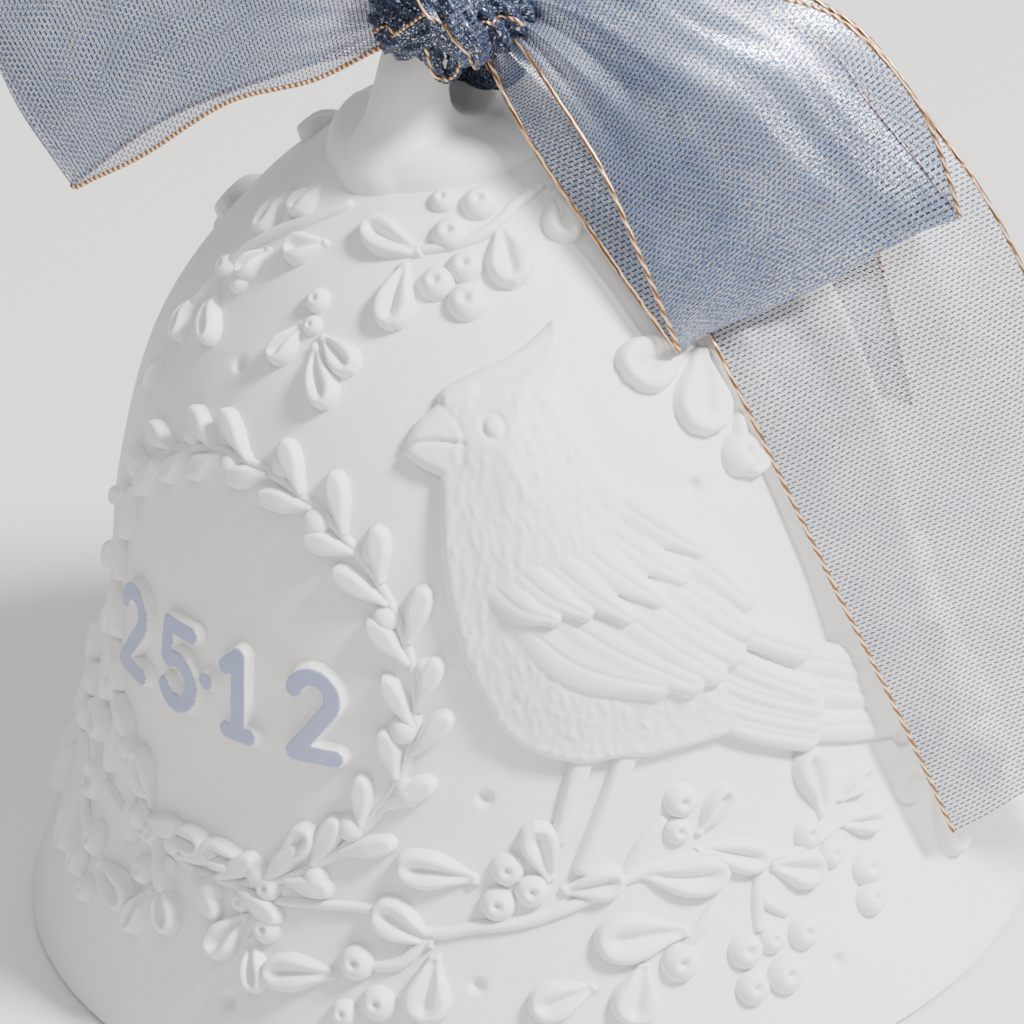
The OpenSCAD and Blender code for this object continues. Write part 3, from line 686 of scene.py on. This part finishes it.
def both_sides(rows):
    return rows + [[row[0] + BACK_TURN, *row[1:]] for row in rows if row[0] >= BACK_FROM]


def sprigs(name, leaf_rows, berry_rows, stem_rows, mirror_from=-1):
    """Leaves, berries and stems, and those beyond mirror_from again on the other side."""
    leaves, berries, stems = Pile(), Pile(), Pile()
    for mirror in (1, -1):
        least = -180 if mirror > 0 else mirror_from
        for row in leaf_rows:
            if row[0] > least:
                bend = math.radians(row[5]) if len(row) > 5 else 0.0
                add_leaf(leaves, *row[:3], LEAF_LONG * row[3], LEAF_WIDE * row[4], bend=bend,
                         height=LEAF_HIGH, mirror=mirror)
        for azimuth, z, radius in berry_rows:
            if azimuth > least:
                add_berry(berries, mirror * azimuth, z, BERRY_GROWTH * radius)
        for path in stem_rows:
            if path[1][0] > least:
                add_stem(stems, path, mirror=mirror)
    stems.build(name + "_stems", WHITE, "porcelain")
    leaves.build(name + "_leaves", WHITE, "porcelain")
    berries.build(name + "_berries", WHITE, "porcelain")


def all_sprigs():
    back = [[[a + BACK_TURN, z] for a, z in path if a >= BACK_FROM] for path in BRANCH_STEMS]
    stems = BRANCH_STEMS + [path for path in back if len(path) > 1]
    sprigs("branch", both_sides(BRANCH_LEAVES), both_sides(BRANCH_BERRIES), stems)
    sprigs("crown", CROWN_LEAVES, CROWN_BERRIES, CROWN_STEMS, CROWN_MIRROR_FROM)


# ------------ birds

BIRD_AZIMUTH, BIRD_Z = 58, 40
# How far the bird stands out at its rim, and how much more in its middle
BIRD_RIM, BIRD_DOME = 1.4, 0.9
EYE_AT, EYE_R = (-5.2, 13.2), 0.6
# Runs of the outline between its corners
BIRD_RUNS = [
    [[1.2, 19.2], [1.1, 17.6], [-0.3, 15.6]],
    [[-0.3, 15.6], [0.4, 13.6], [1.6, 11.5], [4.9, 5.8], [8.3, 2.3], [10.6, -1.2], [12, -5], [12.4, -9],
     [11, -13.2]],
    [[11, -13.2], [7, -13.1], [3.4, -13.1]],
    [[3.4, -13.1], [0.5, -12.7], [-2.7, -12.5], [-7.3, -9.8], [-9.8, -4], [-10.6, 1], [-10.5, 6],
     [-9.8, 10.3]],
    [[-9.8, 10.3], [-10.8, 10.7], [-12.3, 11.7]],
    [[-12.3, 11.7], [-10.8, 13.6], [-8.9, 14.9]],
    [[-8.9, 14.9], [-8.3, 15.8], [-5.5, 16.9], [-2.4, 17.8], [0.2, 19], [0.8, 19.4]]]
# Foot, middle and tip of each long feather, and its width; each lies over the one before it
TAIL_FEATHERS = [
    [[9, -9], [16, -14.6], [25.5, -19.6], 2.6], [[9, -7], [17, -12.2], [27, -18.4], 2.6],
    [[9, -5], [17, -9.8], [26.5, -16.6], 2.6]]
FLIGHT_FEATHERS = [
    [[4.5, -7.2], [10.4, -12.4], [16.4, -16.1], 2.0], [[4.8, -5.8], [10.6, -11], [16.7, -14.9], 2.0],
    [[5.2, -4.2], [11, -9.5], [16.9, -13.7], 2.0], [[6, -3], [11.4, -7.9], [16.6, -12.3], 2.1],
    [[6, -1], [11.6, -5], [16, -8.4], 2.2]]
WING_FEATHERS = [
    [[-5.6, 0], [-1.7, -3.8], [3.8, -6.4], 3.7], [[-3.5, 0.9], [0.4, -2.6], [6.4, -7], 3.4],
    [[-0.6, 1.8], [3.9, -2.5], [8.4, -6.8], 3.2], [[1.8, 2.7], [6.1, -2.1], [10.1, -6], 3.0],
    [[3.6, 3.5], [7.5, -0.6], [11, -4.4], 2.9], [[5, 4.4], [8.8, 1], [11.4, -2.3], 2.7]]
COVERTS = [
    [[-7.4, 3.2], [-5.6, 1.2], [-3.2, 0.1], 2.4], [[-5.6, 4.2], [-3.4, 1.9], [-0.9, 0.2], 2.5],
    [[-3.4, 4.8], [-0.9, 2.1], [2, -0.6], 2.6], [[-0.8, 5.4], [1.9, 2.5], [4.5, 0.1], 2.6],
    [[1.2, 6.2], [4, 3.4], [6.6, 1.1], 2.5], [[2.6, 7.8], [5.2, 5.2], [8.4, 2.5], 2.3]]
LEGS = [[[-1.7, -12], [-3, -15], [-4.3, -18.4], 1.7], [[1.7, -12.4], [-0.2, -16.2], [-2.9, -21], 1.7]]


def feather(x, y, row, level, lift, base_share=0.2, rise=0.0, point=0.0):
    """Height of one feather: base_share of its lift at the foot and all of it at the tip. rise tilts it
    up from the level it starts at, and point narrows its tip."""
    *line, width = row
    curve = spline(line, 5)
    t, off, gap = along(x, y, curve)
    end = np.array(curve[-1])
    beyond = np.hypot(x - end[0], y - end[1])
    half = width / 2 * (0.62 + 0.38 * ease(t / 0.35)) * (1 - point * ease((t - 0.5) / 0.5))
    edge = half - np.where(t >= 0.999, beyond, gap)
    shape = np.sqrt(np.clip(edge / (0.55 * half), 0, 1)) * 0.8 + 0.2 * np.clip(edge / half, 0, 1)
    quill = 0.2 * lift * np.exp(-((off / 0.13) ** 2)) * ease((t - 0.05) / 0.2)
    raised = level + rise * ease(t / 0.7) + lift * (base_share + (1 - base_share) * t) * shape - quill
    return np.where(edge > 0, raised, -9)


def bird_height(x, y):
    """The body with its tail and wing feathers."""
    outline = np.vstack([spline(run, 6)[:-1] for run in BIRD_RUNS])
    edge = inside(x, y, outline)
    dome = BIRD_DOME * ease(edge / 6.5)
    h = np.where(edge > 0, BIRD_RIM * rounded(edge, 0.85) + dome, edge * 2.2)
    ground = BIRD_RIM + dome
    body = edge > 0.25
    # A shallow valley behind the crest's front edge, and a full cheek
    gap = along(x, y, np.array([[-5.5, 15.6], [-2.6, 16.5], [0.2, 18.1]]))[2]
    h -= 0.22 * np.exp(-((gap / 0.5) ** 2)) * body
    cheek = np.hypot((x + 3.2) / 3.2, (y - 10.8) / 2.6)
    h += 0.16 * np.exp(-(cheek**4)) * body
    # Short down over the breast, the back and the head
    rows = np.random.default_rng(5)
    for cy in np.arange(-12.4, 15.5, 0.92):
        for cx in np.arange(-10.4, 9.5, 0.8):
            px, py = cx + rows.uniform(-0.34, 0.34), cy + rows.uniform(-0.34, 0.34)
            turn = math.radians(-72 + 3.2 * px + rows.uniform(-16, 16))
            size, drop = rows.uniform(0.7, 1.25), rows.uniform(0.03, 0.11)
            near = (np.abs(x - px) < 1.3) & (np.abs(y - py) < 1.3) & (edge > 0.5)
            if not near.any() or math.hypot(px - EYE_AT[0], py - EYE_AT[1]) < 1.7 or px < -8.4 and py > 9.5:
                continue
            u = (x[near] - px) * math.cos(turn) + (y[near] - py) * math.sin(turn)
            v = -(x[near] - px) * math.sin(turn) + (y[near] - py) * math.cos(turn)
            tuft = np.exp(-((v / 0.24) ** 2)) * np.clip(1 - np.abs(u) / size, 0, 1) * (0.6 + 0.8 * (u > 0))
            h[near] += drop * tuft
    eye = np.hypot(x - EYE_AT[0], y - EYE_AT[1])
    h -= 0.18 * np.exp(-(((eye - 0.8) / 0.2) ** 2))
    h = np.where(eye < EYE_R, h + 0.28 * np.sqrt(np.clip(1 - (eye / EYE_R) ** 2, 0, 1)), h)
    gap = along(x, y, np.array([[-12.1, 11.75], [-10.9, 12.35], [-9.4, 12.5], [-7.5, 12.25]]))[2]
    h -= 0.42 * np.exp(-((gap / 0.17) ** 2)) * (edge > 0.05)
    gap = along(x, y, np.array([[-8.6, 14.9], [-7.7, 13.6], [-7.4, 12.2], [-8, 10.9], [-9.2, 10.3]]))[2]
    h -= 0.14 * np.exp(-((gap / 0.28) ** 2)) * body
    tail = np.full(x.shape, -9.0)
    for k, row in enumerate(TAIL_FEATHERS):
        tail = np.maximum(tail, feather(x, y, row, 0.4 + 0.22 * k, 0.75, 0.6))
    h = np.maximum(h, tail)
    for k, row in enumerate(FLIGHT_FEATHERS):
        h = np.maximum(h, feather(x, y, row, 0.85 + 0.2 * k, 0.75, 0.75))
    for k, row in enumerate(WING_FEATHERS):
        h = np.maximum(h, feather(x, y, row, ground + 0.06 * k, 0.75, 0.2, rise=0.1 + 0.07 * k, point=0.25))
    for k, row in enumerate(COVERTS):
        h = np.maximum(h, feather(x, y, row, ground - 0.12, 0.62, 0.0, rise=0.6 + 0.05 * k, point=0.4))
    return h


def leg_height(x, y):
    h = np.full(x.shape, -1.0)
    for *line, width in LEGS:
        t, _, gap = along(x, y, spline(line, 4))
        edge = width / 2 * (1.1 - 0.3 * t) - gap
        h = np.maximum(h, 0.95 * rounded(edge, 0.55))
    return h


def bird(turn, name):
    place = projected(BIRD_AZIMUTH + turn, BIRD_Z)
    for part, height, xs, ys in (
        ("body", bird_height, np.arange(-12.8, 28.6, 0.14), np.arange(-21, 20, 0.14)),
        ("legs", leg_height, np.arange(-6, 4, 0.16), np.arange(-22.5, -11, 0.16)),
    ):
        pile = Pile()
        height_patch(pile, xs, ys, height, place)
        nodes = ["_body", "_wing", "_tail"] if part == "body" else ["_legs"]
        pile.build(name + "_" + part, WHITE, "porcelain", replaces=[name + n for n in nodes])


# ------------ numerals

NUMERAL_Z, NUMERAL_PITCH, NUMERAL_MIDDLE, STROKE = 31.0, 12.5, -1.5, 2.1


def arc(cx, cy, r, a1, a2, steps=14):
    t = np.radians(np.linspace(a1, a2, steps))
    return np.stack([cx + r * np.cos(t), cy + r * np.sin(t)], -1)


TWO = [np.vstack([arc(0, 1.6, 1.7, 165, -45), [[-1.7, -3.3]], [[1.9, -3.3]]])]
FIVE = [np.vstack([[[1.7, 3.3]], [[-1.2, 3.3]], [[-1.5, 0.35]], arc(-0.1, -1.4, 1.9, 125, -150)])]
ONE = [np.array([[-1.3, 2.1], [0, 3.25], [0, -3.3]]), np.array([[-1.1, -3.3], [1.1, -3.3]])]
DOT = [np.array([[-0.01, 0], [0.01, 0]])]


def date_numerals():
    pile = Pile()
    for strokes, at in ((TWO, -1.5), (FIVE, -0.5), (DOT, 0), (ONE, 0.5), (TWO, 1.5)):
        def heights(x, y, strokes=strokes):
            gap = np.min([along(x, y, s)[2] for s in strokes], axis=0)
            edge = STROKE / 2 - gap
            return np.where(edge > 0, 0.9 * ease(edge / 0.4) ** 0.8, edge * 2.2)

        height_patch(pile, np.arange(-3, 3.01, 0.1), np.arange(-4.6, 4.61, 0.1), heights,
                     wrapped(NUMERAL_MIDDLE + at * NUMERAL_PITCH, NUMERAL_Z), slot=lambda low: low > 0.72)
    pile.build("date_numerals", [WHITE, BLUE], "numeral_glaze")


# ------------ ribbon

RIBBON_W = 25.0
# The bow is shaped in a frame that is square to the line from the camera, VIEW_FAR away
BOW_TURN, BOW_LEAN, BOW_Z = math.radians(47), math.radians(29), 42.0
RIGHT = np.array([math.cos(BOW_TURN), math.sin(BOW_TURN), 0])
BACK = np.array([math.sin(BOW_TURN) * math.cos(BOW_LEAN), -math.cos(BOW_TURN) * math.cos(BOW_LEAN),
                 math.sin(BOW_LEAN)])
UP = np.cross(BACK, RIGHT)
VIEW_FAR = 700.0


def bow(p):
    """Points of the bow's slanted frame: x and u as they line up from the front, and t towards it."""
    p = np.asarray(p, float)
    k = (1 - p[..., 2:3] / VIEW_FAR)
    return p[..., :1] * k * RIGHT + p[..., 1:2] * k * UP + p[..., 2:3] * BACK + np.array([0, 0, BOW_Z])


def strip(name, stations, pleats, waves, material=CLOTH, frame_of=bow):
    """A length of ribbon. Each station has its left point, its right point and how far its middle bulges.
    A pleat has its place along the ribbon, depth, count and phase, and a wave its depth, count, drift
    along the ribbon and phase."""
    steps, cols = 10, 64
    rows = spline([[*left, *right, bulge] for left, right, bulge in stations], steps)
    left, right, bulge = frame_of(rows[:, :3]), frame_of(rows[:, 3:6]), rows[:, 6]
    v = np.linspace(0, 1, len(rows))
    u = np.linspace(0, 1, cols + 1)
    middle = (left + right) / 2
    run = np.gradient(middle, axis=0)
    normal = np.cross(right - left, run)
    normal /= np.maximum(np.linalg.norm(normal, axis=1), 1e-6)[:, None]
    for i in range(1, len(normal)):
        if normal[i] @ normal[i - 1] < 0:
            normal[i] *= -1
    if normal[0] @ BACK < 0:
        normal = -normal
    push = 4 * bulge[:, None] * u * (1 - u)
    for start, depth, count, phase in pleats:
        fade = np.exp(-np.abs(v - start) / 0.13)
        shape = np.sin(2 * math.pi * count * u[None] + phase + 1.4 * np.sin(5 * u[None] + 3 * v[:, None]))
        push = push + depth * fade[:, None] * shape * np.clip(8 * u * (1 - u), 0, 1)
    for depth, count, drift, phase in waves:
        push = push + depth * np.sin(2 * math.pi * (count * u[None] + drift * v[:, None]) + phase)
    verts = left[:, None] * (1 - u)[None, :, None] + right[:, None] * u[None, :, None]
    verts += push[..., None] * normal[:, None]
    middle_steps = np.linalg.norm(np.diff(verts[:, cols // 2], axis=0), axis=1)
    lengths = np.concatenate([[0], np.cumsum(middle_steps)])
    uv = np.stack(np.broadcast_arrays(u[None] * RIBBON_W, lengths[:, None]), -1)
    pile = Pile()
    pile.add(verts, grid_quads(len(rows), cols + 1), uv=uv + 0.01)
    cloth = pile.build(name, material, "organza")
    trim = Pile()
    for edge in (verts[:, 0], verts[:, -1]):
        tube(trim, edge, normal, 0.19, 0.14, ring=8)
    selvedge = trim.build(name + "_selvedge", GOLD, "organza", replaces=())


def bow_loops():
    strip("bow_loop_right", [
        ([1.8, 29.8, 24.5], [2.2, 33.2, 24.5], 0), ([3.9, 28.4, 25.6], [5.6, 35.8, 25.6], 0.6),
        ([6.8, 23.4, 26.8], [13.5, 35.6, 26.4], 1.6), ([9.7, 17.8, 27.4], [21.5, 31.4, 26.6], 2.4),
        ([12.1, 11, 27.0], [29.4, 28.4, 25.6], 2.2), ([14.1, 4.9, 26.0], [35.4, 21, 24.0], 1.2),
        ([14.75, 2.9, 25.1], [37.9, 12.4, 22.8], 0.2), ([14.3, 3.3, 24.5], [37.3, 12.9, 21.9], -0.2),
        ([12.2, 6.6, 24.3], [35.2, 16.2, 20.9], -0.9), ([8.5, 12.8, 23.6], [31.8, 21.0, 20.6], -1.4),
        ([4.6, 19.6, 22.4], [27.5, 27.0, 20.6], -1.2), ([2.2, 25, 21.8], [16, 33.2, 21.2], -0.6),
        ([0.8, 29.6, 22.4], [1.2, 32.6, 22.4], 0)],
        pleats=[(0, 1.0, 4.5, 0.4), (1, 0.9, 4, 2.0)],
        waves=[(0.25, 1.6, 0.8, 0.5)])
    strip("bow_loop_left", [
        ([-3.6, 28.6, 22.6], [-3.6, 32.6, 22.8], 0), ([-6.5, 29.0, 23.0], [-7, 36.5, 23.2], 0.3),
        ([-12.6, 26.7, 23.0], [-15, 42.5, 23.2], 0.9), ([-19.6, 25.5, 22.4], [-25, 47.5, 22.4], 1.3),
        ([-26.6, 21.9, 21.2], [-35, 46, 21.4], 1.0), ([-31, 20.2, 20.4], [-41.2, 41.5, 20.4], 0.6),
        ([-32.6, 19.6, 19.6], [-43, 40.4, 19.6], 0.1), ([-31.6, 20.6, 18.8], [-42, 41.8, 18.6], -0.4),
        ([-24, 25, 18.2], [-35, 47.4, 17.8], -0.8), ([-13, 28, 18.8], [-20, 46, 18.6], -0.6),
        ([-3.6, 29.4, 20.8], [-4, 32.6, 21], 0)],
        pleats=[(0, 0.9, 4, 0.9), (1, 0.8, 3.5, 0)],
        waves=[(0.3, 1.3, 1.1, 1.4)])
    strip("ribbon_tail_right", [
        ([1.2, 28.2, 20.6], [3.4, 31.6, 20.6], 0), ([4.6, 27, 19.8], [9.5, 34, 19.6], 0.3),
        ([8.6, 24.6, 19.6], [20, 33.4, 18.2], 0.5), ([12.4, 16.8, 19.9], [30.5, 28, 16.8], 0.5),
        ([15.6, 9, 21.2], [37, 18.5, 16.6], 0.4), ([17.4, 3.6, 21.9], [40.4, 12.8, 16.2], 0.3),
        ([20.3, -3.6, 21.2], [43.4, 5.8, 15.2], 0.3), ([23.0, -10.4, 18.8], [46.2, -1.2, 13.2], 0.4),
        ([25.9, -17.6, 15.2], [49, -8.2, 10.4], 0.6), ([28.9, -24.8, 11.2], [52, -15.2, 7.2], 0.6),
        ([31.6, -31.6, 7.6], [54.6, -22, 4.2], 0.4), ([33.6, -37, 5], [56.6, -27.6, 2.2], 0.1)],
        material=CLOTH_PALE, pleats=[(0, 0.7, 3.5, 1.2)],
        waves=[(0.42, 1.4, 0.35, 0.2), (0.2, 3.1, -0.3, 1.0)])


def around_back(p):
    """Points given by their distance from the axis, offset to the side and height, round the back."""
    p = np.asarray(p, float)
    a = math.radians(186)
    out, side = np.array([math.sin(a), -math.cos(a), 0]), np.array([math.cos(a), math.sin(a), 0])
    return p[..., :1] * out + p[..., 1:2] * side + p[..., 2:3] * np.array([0, 0, 1.0])


def back_tail():
    half = RIBBON_W / 2
    fall = [(8.5, 78.5), (14, 74.8), (20, 70), (26, 63), (30.5, 55), (33.5, 46.5), (35.6, 37.5), (37.8, 28)]
    rows = [([0.5, -1.8, 80.6], [0.5, 1.8, 80.6], 0), ([3.6, -4.5, 80.4], [3.6, 4.5, 80.4], 0.2)]
    rows += [([r, -half * w, z], [r, half * w, z], b) for (r, z), w, b in
             zip(fall, (0.62, 0.82, 0.93, 0.98, 0.99, 1, 1, 1), (0.5, 0.6, 0.8, 0.9, 0.8, 0.7, 0.6, 0.4))]
    strip("ribbon_tail_back", rows, material=CLOTH_PALE, pleats=[(0, 0.7, 3.5, 0.3)],
          frame_of=around_back, waves=[(0.35, 1.5, 0.5, 0.6)])


def gathered(pile, trim, path, radius, folds, twist):
    """A gathered rope of ribbon along a path, with its two selvedges lying in the folds."""
    line = spline(path)
    run = np.gradient(line, axis=0)
    run /= np.linalg.norm(run, axis=1)[:, None]
    side = np.cross(run, BACK)
    side /= np.maximum(np.linalg.norm(side, axis=1), 1e-6)[:, None]
    out = np.cross(side, run)
    radius = np.interp(np.linspace(0, 1, len(line)), np.linspace(0, 1, len(radius)), radius)
    ring = 72
    t = np.radians(np.arange(ring) * 360 / ring)
    turn = twist * np.linspace(0, math.pi, len(line))[:, None]
    shape = 1 + 0.16 * np.sin(folds * (t[None] + turn)) + 0.07 * np.sin((2 * folds + 1) * t[None] - 2 * turn)
    r = radius[:, None] * shape
    verts = (line[:, None] + (r * np.cos(t)[None])[..., None] * side[:, None]
             + (r * np.sin(t)[None])[..., None] * out[:, None])
    distance = np.concatenate([[0], np.cumsum(np.linalg.norm(np.diff(line, axis=0), axis=1))])
    uv = np.stack(np.broadcast_arrays(t[None] / (2 * math.pi) * RIBBON_W, distance[:, None]), -1) + 0.01
    pile.add(verts, [face[::-1] for face in tube_faces(len(line), ring)], uv=uv)
    for start in (12, 44):
        column = [(start + int(3 * math.sin(i * 0.35))) % ring for i in range(len(line))]
        edge = verts[np.arange(len(line)), column]
        tube(trim, edge + 0.03 * (edge - line), edge - line, 0.15, 0.1, ring=8)


def soft_rope(name, pile, trim):
    cloth = pile.build(name, CLOTH_DENSE_SHADED, "organza")
    trim.build(name + "_selvedge", GOLD, "organza", replaces=())


def knot():
    pile, trim = Pile(), Pile()
    # The band that binds the bow, and the folds that cross over it
    band = [[-6.6, 31.2, 23.6], [-3.8, 31.4, 25.4], [-0.6, 31.6, 26.0], [2.6, 31.4, 25.2], [4.8, 31.0, 23.8]]
    gathered(pile, trim, bow(band), [2.0, 3.3, 3.6, 3.0, 2.0], folds=9, twist=1.6)
    over = [[-5.0, 36.0, 24.6], [-3.4, 34.0, 28.0], [-1.4, 31.0, 29.2], [-0.2, 28.6, 28.4], [0.4, 27.6, 25.4]]
    gathered(pile, trim, bow(over), [1.4, 1.8, 1.9, 1.5, 1.0], folds=6, twist=1.1)
    across = [[3.0, 35.6, 25], [1.4, 33.8, 28.2], [-2.0, 30.8, 28.6], [-4.8, 29.4, 26.4], [-6.2, 29.2, 23.8]]
    gathered(pile, trim, bow(across), [1.2, 1.7, 1.8, 1.5, 1.0], folds=6, twist=-1.0)
    # The small twisted loop that hangs in front of the hole
    curl = [[-3.4, 30.4, 27.6], [-3.2, 28.2, 27.4], [-2.6, 26.4, 26.4], [-1.6, 26.2, 26.2],
            [-1.2, 28.0, 27.0], [-1.6, 30.6, 28.0]]
    gathered(pile, trim, bow(curl), [0.8, 0.62, 0.5, 0.5, 0.6, 0.8], folds=4, twist=2.5)
    soft_rope("bow_knot", pile, trim)
    pile, trim = Pile(), Pile()
    # From the knot down through the lug's hole and up again behind it
    path = [[1.5, -8.5, 80.2], [5.0, -3.4, 77.8], [4.9, -0.6, 74.4], [3.0, 0, 72.5], [0, 0, 72.1],
            [-4.4, 0, 72.8], [-5.3, -1.0, 77.4], [-3.6, -2.6, 80.6], [-1, -5.4, 81.4]]
    gathered(pile, trim, path, [1.5, 1.5, 1.3, 1.2, 1.2, 1.4, 1.6, 1.8, 1.8], folds=6, twist=1.5)
    soft_rope("ribbon_turn", pile, trim)


# ------------ clapper

CEILING_Z, STAPLE_Z, LINK_MID, EYE_MID = 64.8, 62.6, 61.8, 58.95
RING_R, WIRE_R, BALL_Z, BALL_R, BEAD_Z, BEAD_R = 1.9, 0.45, 17.0, 6.0, 9.6, 1.4


def wire(pile, points, radius, closed=False):
    """A round wire along points that lie in one plane."""
    line = spline(points, closed=closed)
    if closed:
        line = np.vstack([line, line[:2]])
    run = np.gradient(line, axis=0)
    plane = np.linalg.svd(line - line.mean(0))[2][-1]
    normals = np.cross(run, plane)
    tube(pile, line, normals, radius, radius, ring=14)


def clapper():
    staple = Pile()
    legs = [[-1.9, 0, CEILING_Z + 0.6], [-1.9, 0, 64.4], [-1.7, 0, 63.4], [-0.9, 0, 62.75], [0, 0, STAPLE_Z],
            [0.9, 0, 62.75], [1.7, 0, 63.4], [1.9, 0, 64.4], [1.9, 0, CEILING_Z + 0.6]]
    wire(staple, legs, 0.6)
    staple.build("clapper_staple", WIRE, "steel_wire")
    turn = np.radians(np.arange(0, 360, 20))
    side, height = RING_R * np.cos(turn), RING_R * np.sin(turn)
    link = Pile()
    wire(link, np.stack([0 * turn, side, LINK_MID + height], -1), WIRE_R, closed=True)
    link.build("clapper_link", WIRE, "steel_wire", body="link")
    rod = Pile()
    wire(rod, np.stack([side, 0 * turn, EYE_MID + height], -1), WIRE_R, closed=True)
    ends = np.array([[0, 0, EYE_MID - RING_R + 0.2], [0, 0, BEAD_Z]])
    tube(rod, ends, np.array([[1.0, 0, 0]] * 2), WIRE_R, WIRE_R, ring=14)
    rod.build("clapper_wire", WIRE, "steel_wire", body="clapper")
    for name, radius, z in (("clapper_ball", BALL_R, BALL_Z), ("clapper_bead", BEAD_R, BEAD_Z)):
        ball = Pile()
        bore = math.asin(WIRE_R / radius)
        lat = np.linspace(bore if name == "clapper_ball" else 0.03, math.pi - bore, 40)
        lon = np.radians(np.arange(0, 360, 6))
        r, h = radius * np.sin(lat), z - radius * np.cos(lat)
        points = np.stack([r[:, None] * np.cos(lon), r[:, None] * np.sin(lon), h[:, None] + 0 * lon], -1)
        closing = [] if name == "clapper_ball" else [list(range(len(lon)))]
        ball.add(points, grid_quads(len(lat), len(lon), wrap=True)[:, ::-1].tolist() + closing)
        ball.build(name, BALL, "clapper_steel", body="clapper")


def build_all():
    bell_shell()
    hanger_lug()
    wreath()
    all_sprigs()
    bird(0, "right_bird")
    bird(180, "back_bird")
    date_numerals()
    bow_loops()
    back_tail()
    knot()
    clapper()


build_all()

# ------------ stage, light and camera


def stage():
    floor_mat = Nodes("paper_floor")
    where = floor_mat.place()
    tone = floor_mat.noise(3, 2, 0.5, where)
    paper = floor_mat.ramp(tone, [(0.3, (0.70, 0.685, 0.675)), (0.7, (0.725, 0.71, 0.70))])
    floor_mat.link(paper, "Base Color")
    floor_mat.shader.inputs["Roughness"].default_value = 0.9
    half = 1.5
    corners = [(-half, -half, 0), (half, -half, 0), (half, half, 0), (-half, half, 0)]
    floor = mesh_object("floor", corners, [(0, 1, 2, 3)])
    floor.data.materials.append(floor_mat.material)
    floor.location.z = -0.0002


def area_light(name, azimuth, elevation, distance, size, power, colour=(1, 1, 1)):
    a, e = math.radians(azimuth), math.radians(elevation)
    back = Vector((math.sin(a) * math.cos(e), -math.cos(a) * math.cos(e), math.sin(e)))
    light = bpy.data.lights.new(name, "AREA")
    light.shape, light.size, light.energy, light.color = "DISK", size, power, colour
    lamp = bpy.data.objects.new(name, light)
    lamp.location = Vector((0, 0, 0.04)) + back * distance
    lamp.rotation_euler = back.to_track_quat("Z", "Y").to_euler()
    bpy.context.scene.collection.objects.link(lamp)


# Degrees, millimetres of lens, and metres from the bow's origin to the middle of the picture
CAMERA_ROLL, CAMERA_LENS, AIM_RIGHT, AIM_DOWN = 4.5, 307.6, 0.00112, 0.00864


def camera():
    """The photograph's view, square to the bow's frame, with a long lens and the bell leaning left."""
    tilt = math.radians(CAMERA_ROLL)
    right, up, back = Vector(RIGHT), Vector(UP), Vector(BACK)
    across = right * math.cos(tilt) - up * math.sin(tilt)
    above = up * math.cos(tilt) + right * math.sin(tilt)
    aim = Vector((0, 0, BOW_Z * MM)) + across * AIM_RIGHT - above * AIM_DOWN
    data = bpy.data.cameras.new("camera")
    data.lens, data.sensor_width = CAMERA_LENS, 36.0
    data.clip_start, data.clip_end = 0.05, 20.0
    cam = bpy.data.objects.new("camera", data)
    turn = Matrix((across, above, back)).transposed()
    cam.matrix_world = Matrix.Translation(aim + back * VIEW_FAR * MM) @ turn.to_4x4()
    bpy.context.scene.collection.objects.link(cam)
    bpy.context.scene.camera = cam


stage()
area_light("key", 109, 47, 1.1, 0.24, 36, (1, 0.985, 0.965))
area_light("fill", 20, 62, 1.3, 0.8, 6, (1, 0.985, 0.97))
area_light("back", 215, 55, 1.3, 0.8, 5)
world = bpy.data.worlds.new("studio")
world.use_nodes = True
world.node_tree.nodes["Background"].inputs["Color"].default_value = (0.93, 0.93, 0.94, 1)
world.node_tree.nodes["Background"].inputs["Strength"].default_value = 0.36
bpy.context.scene.world = world
camera()
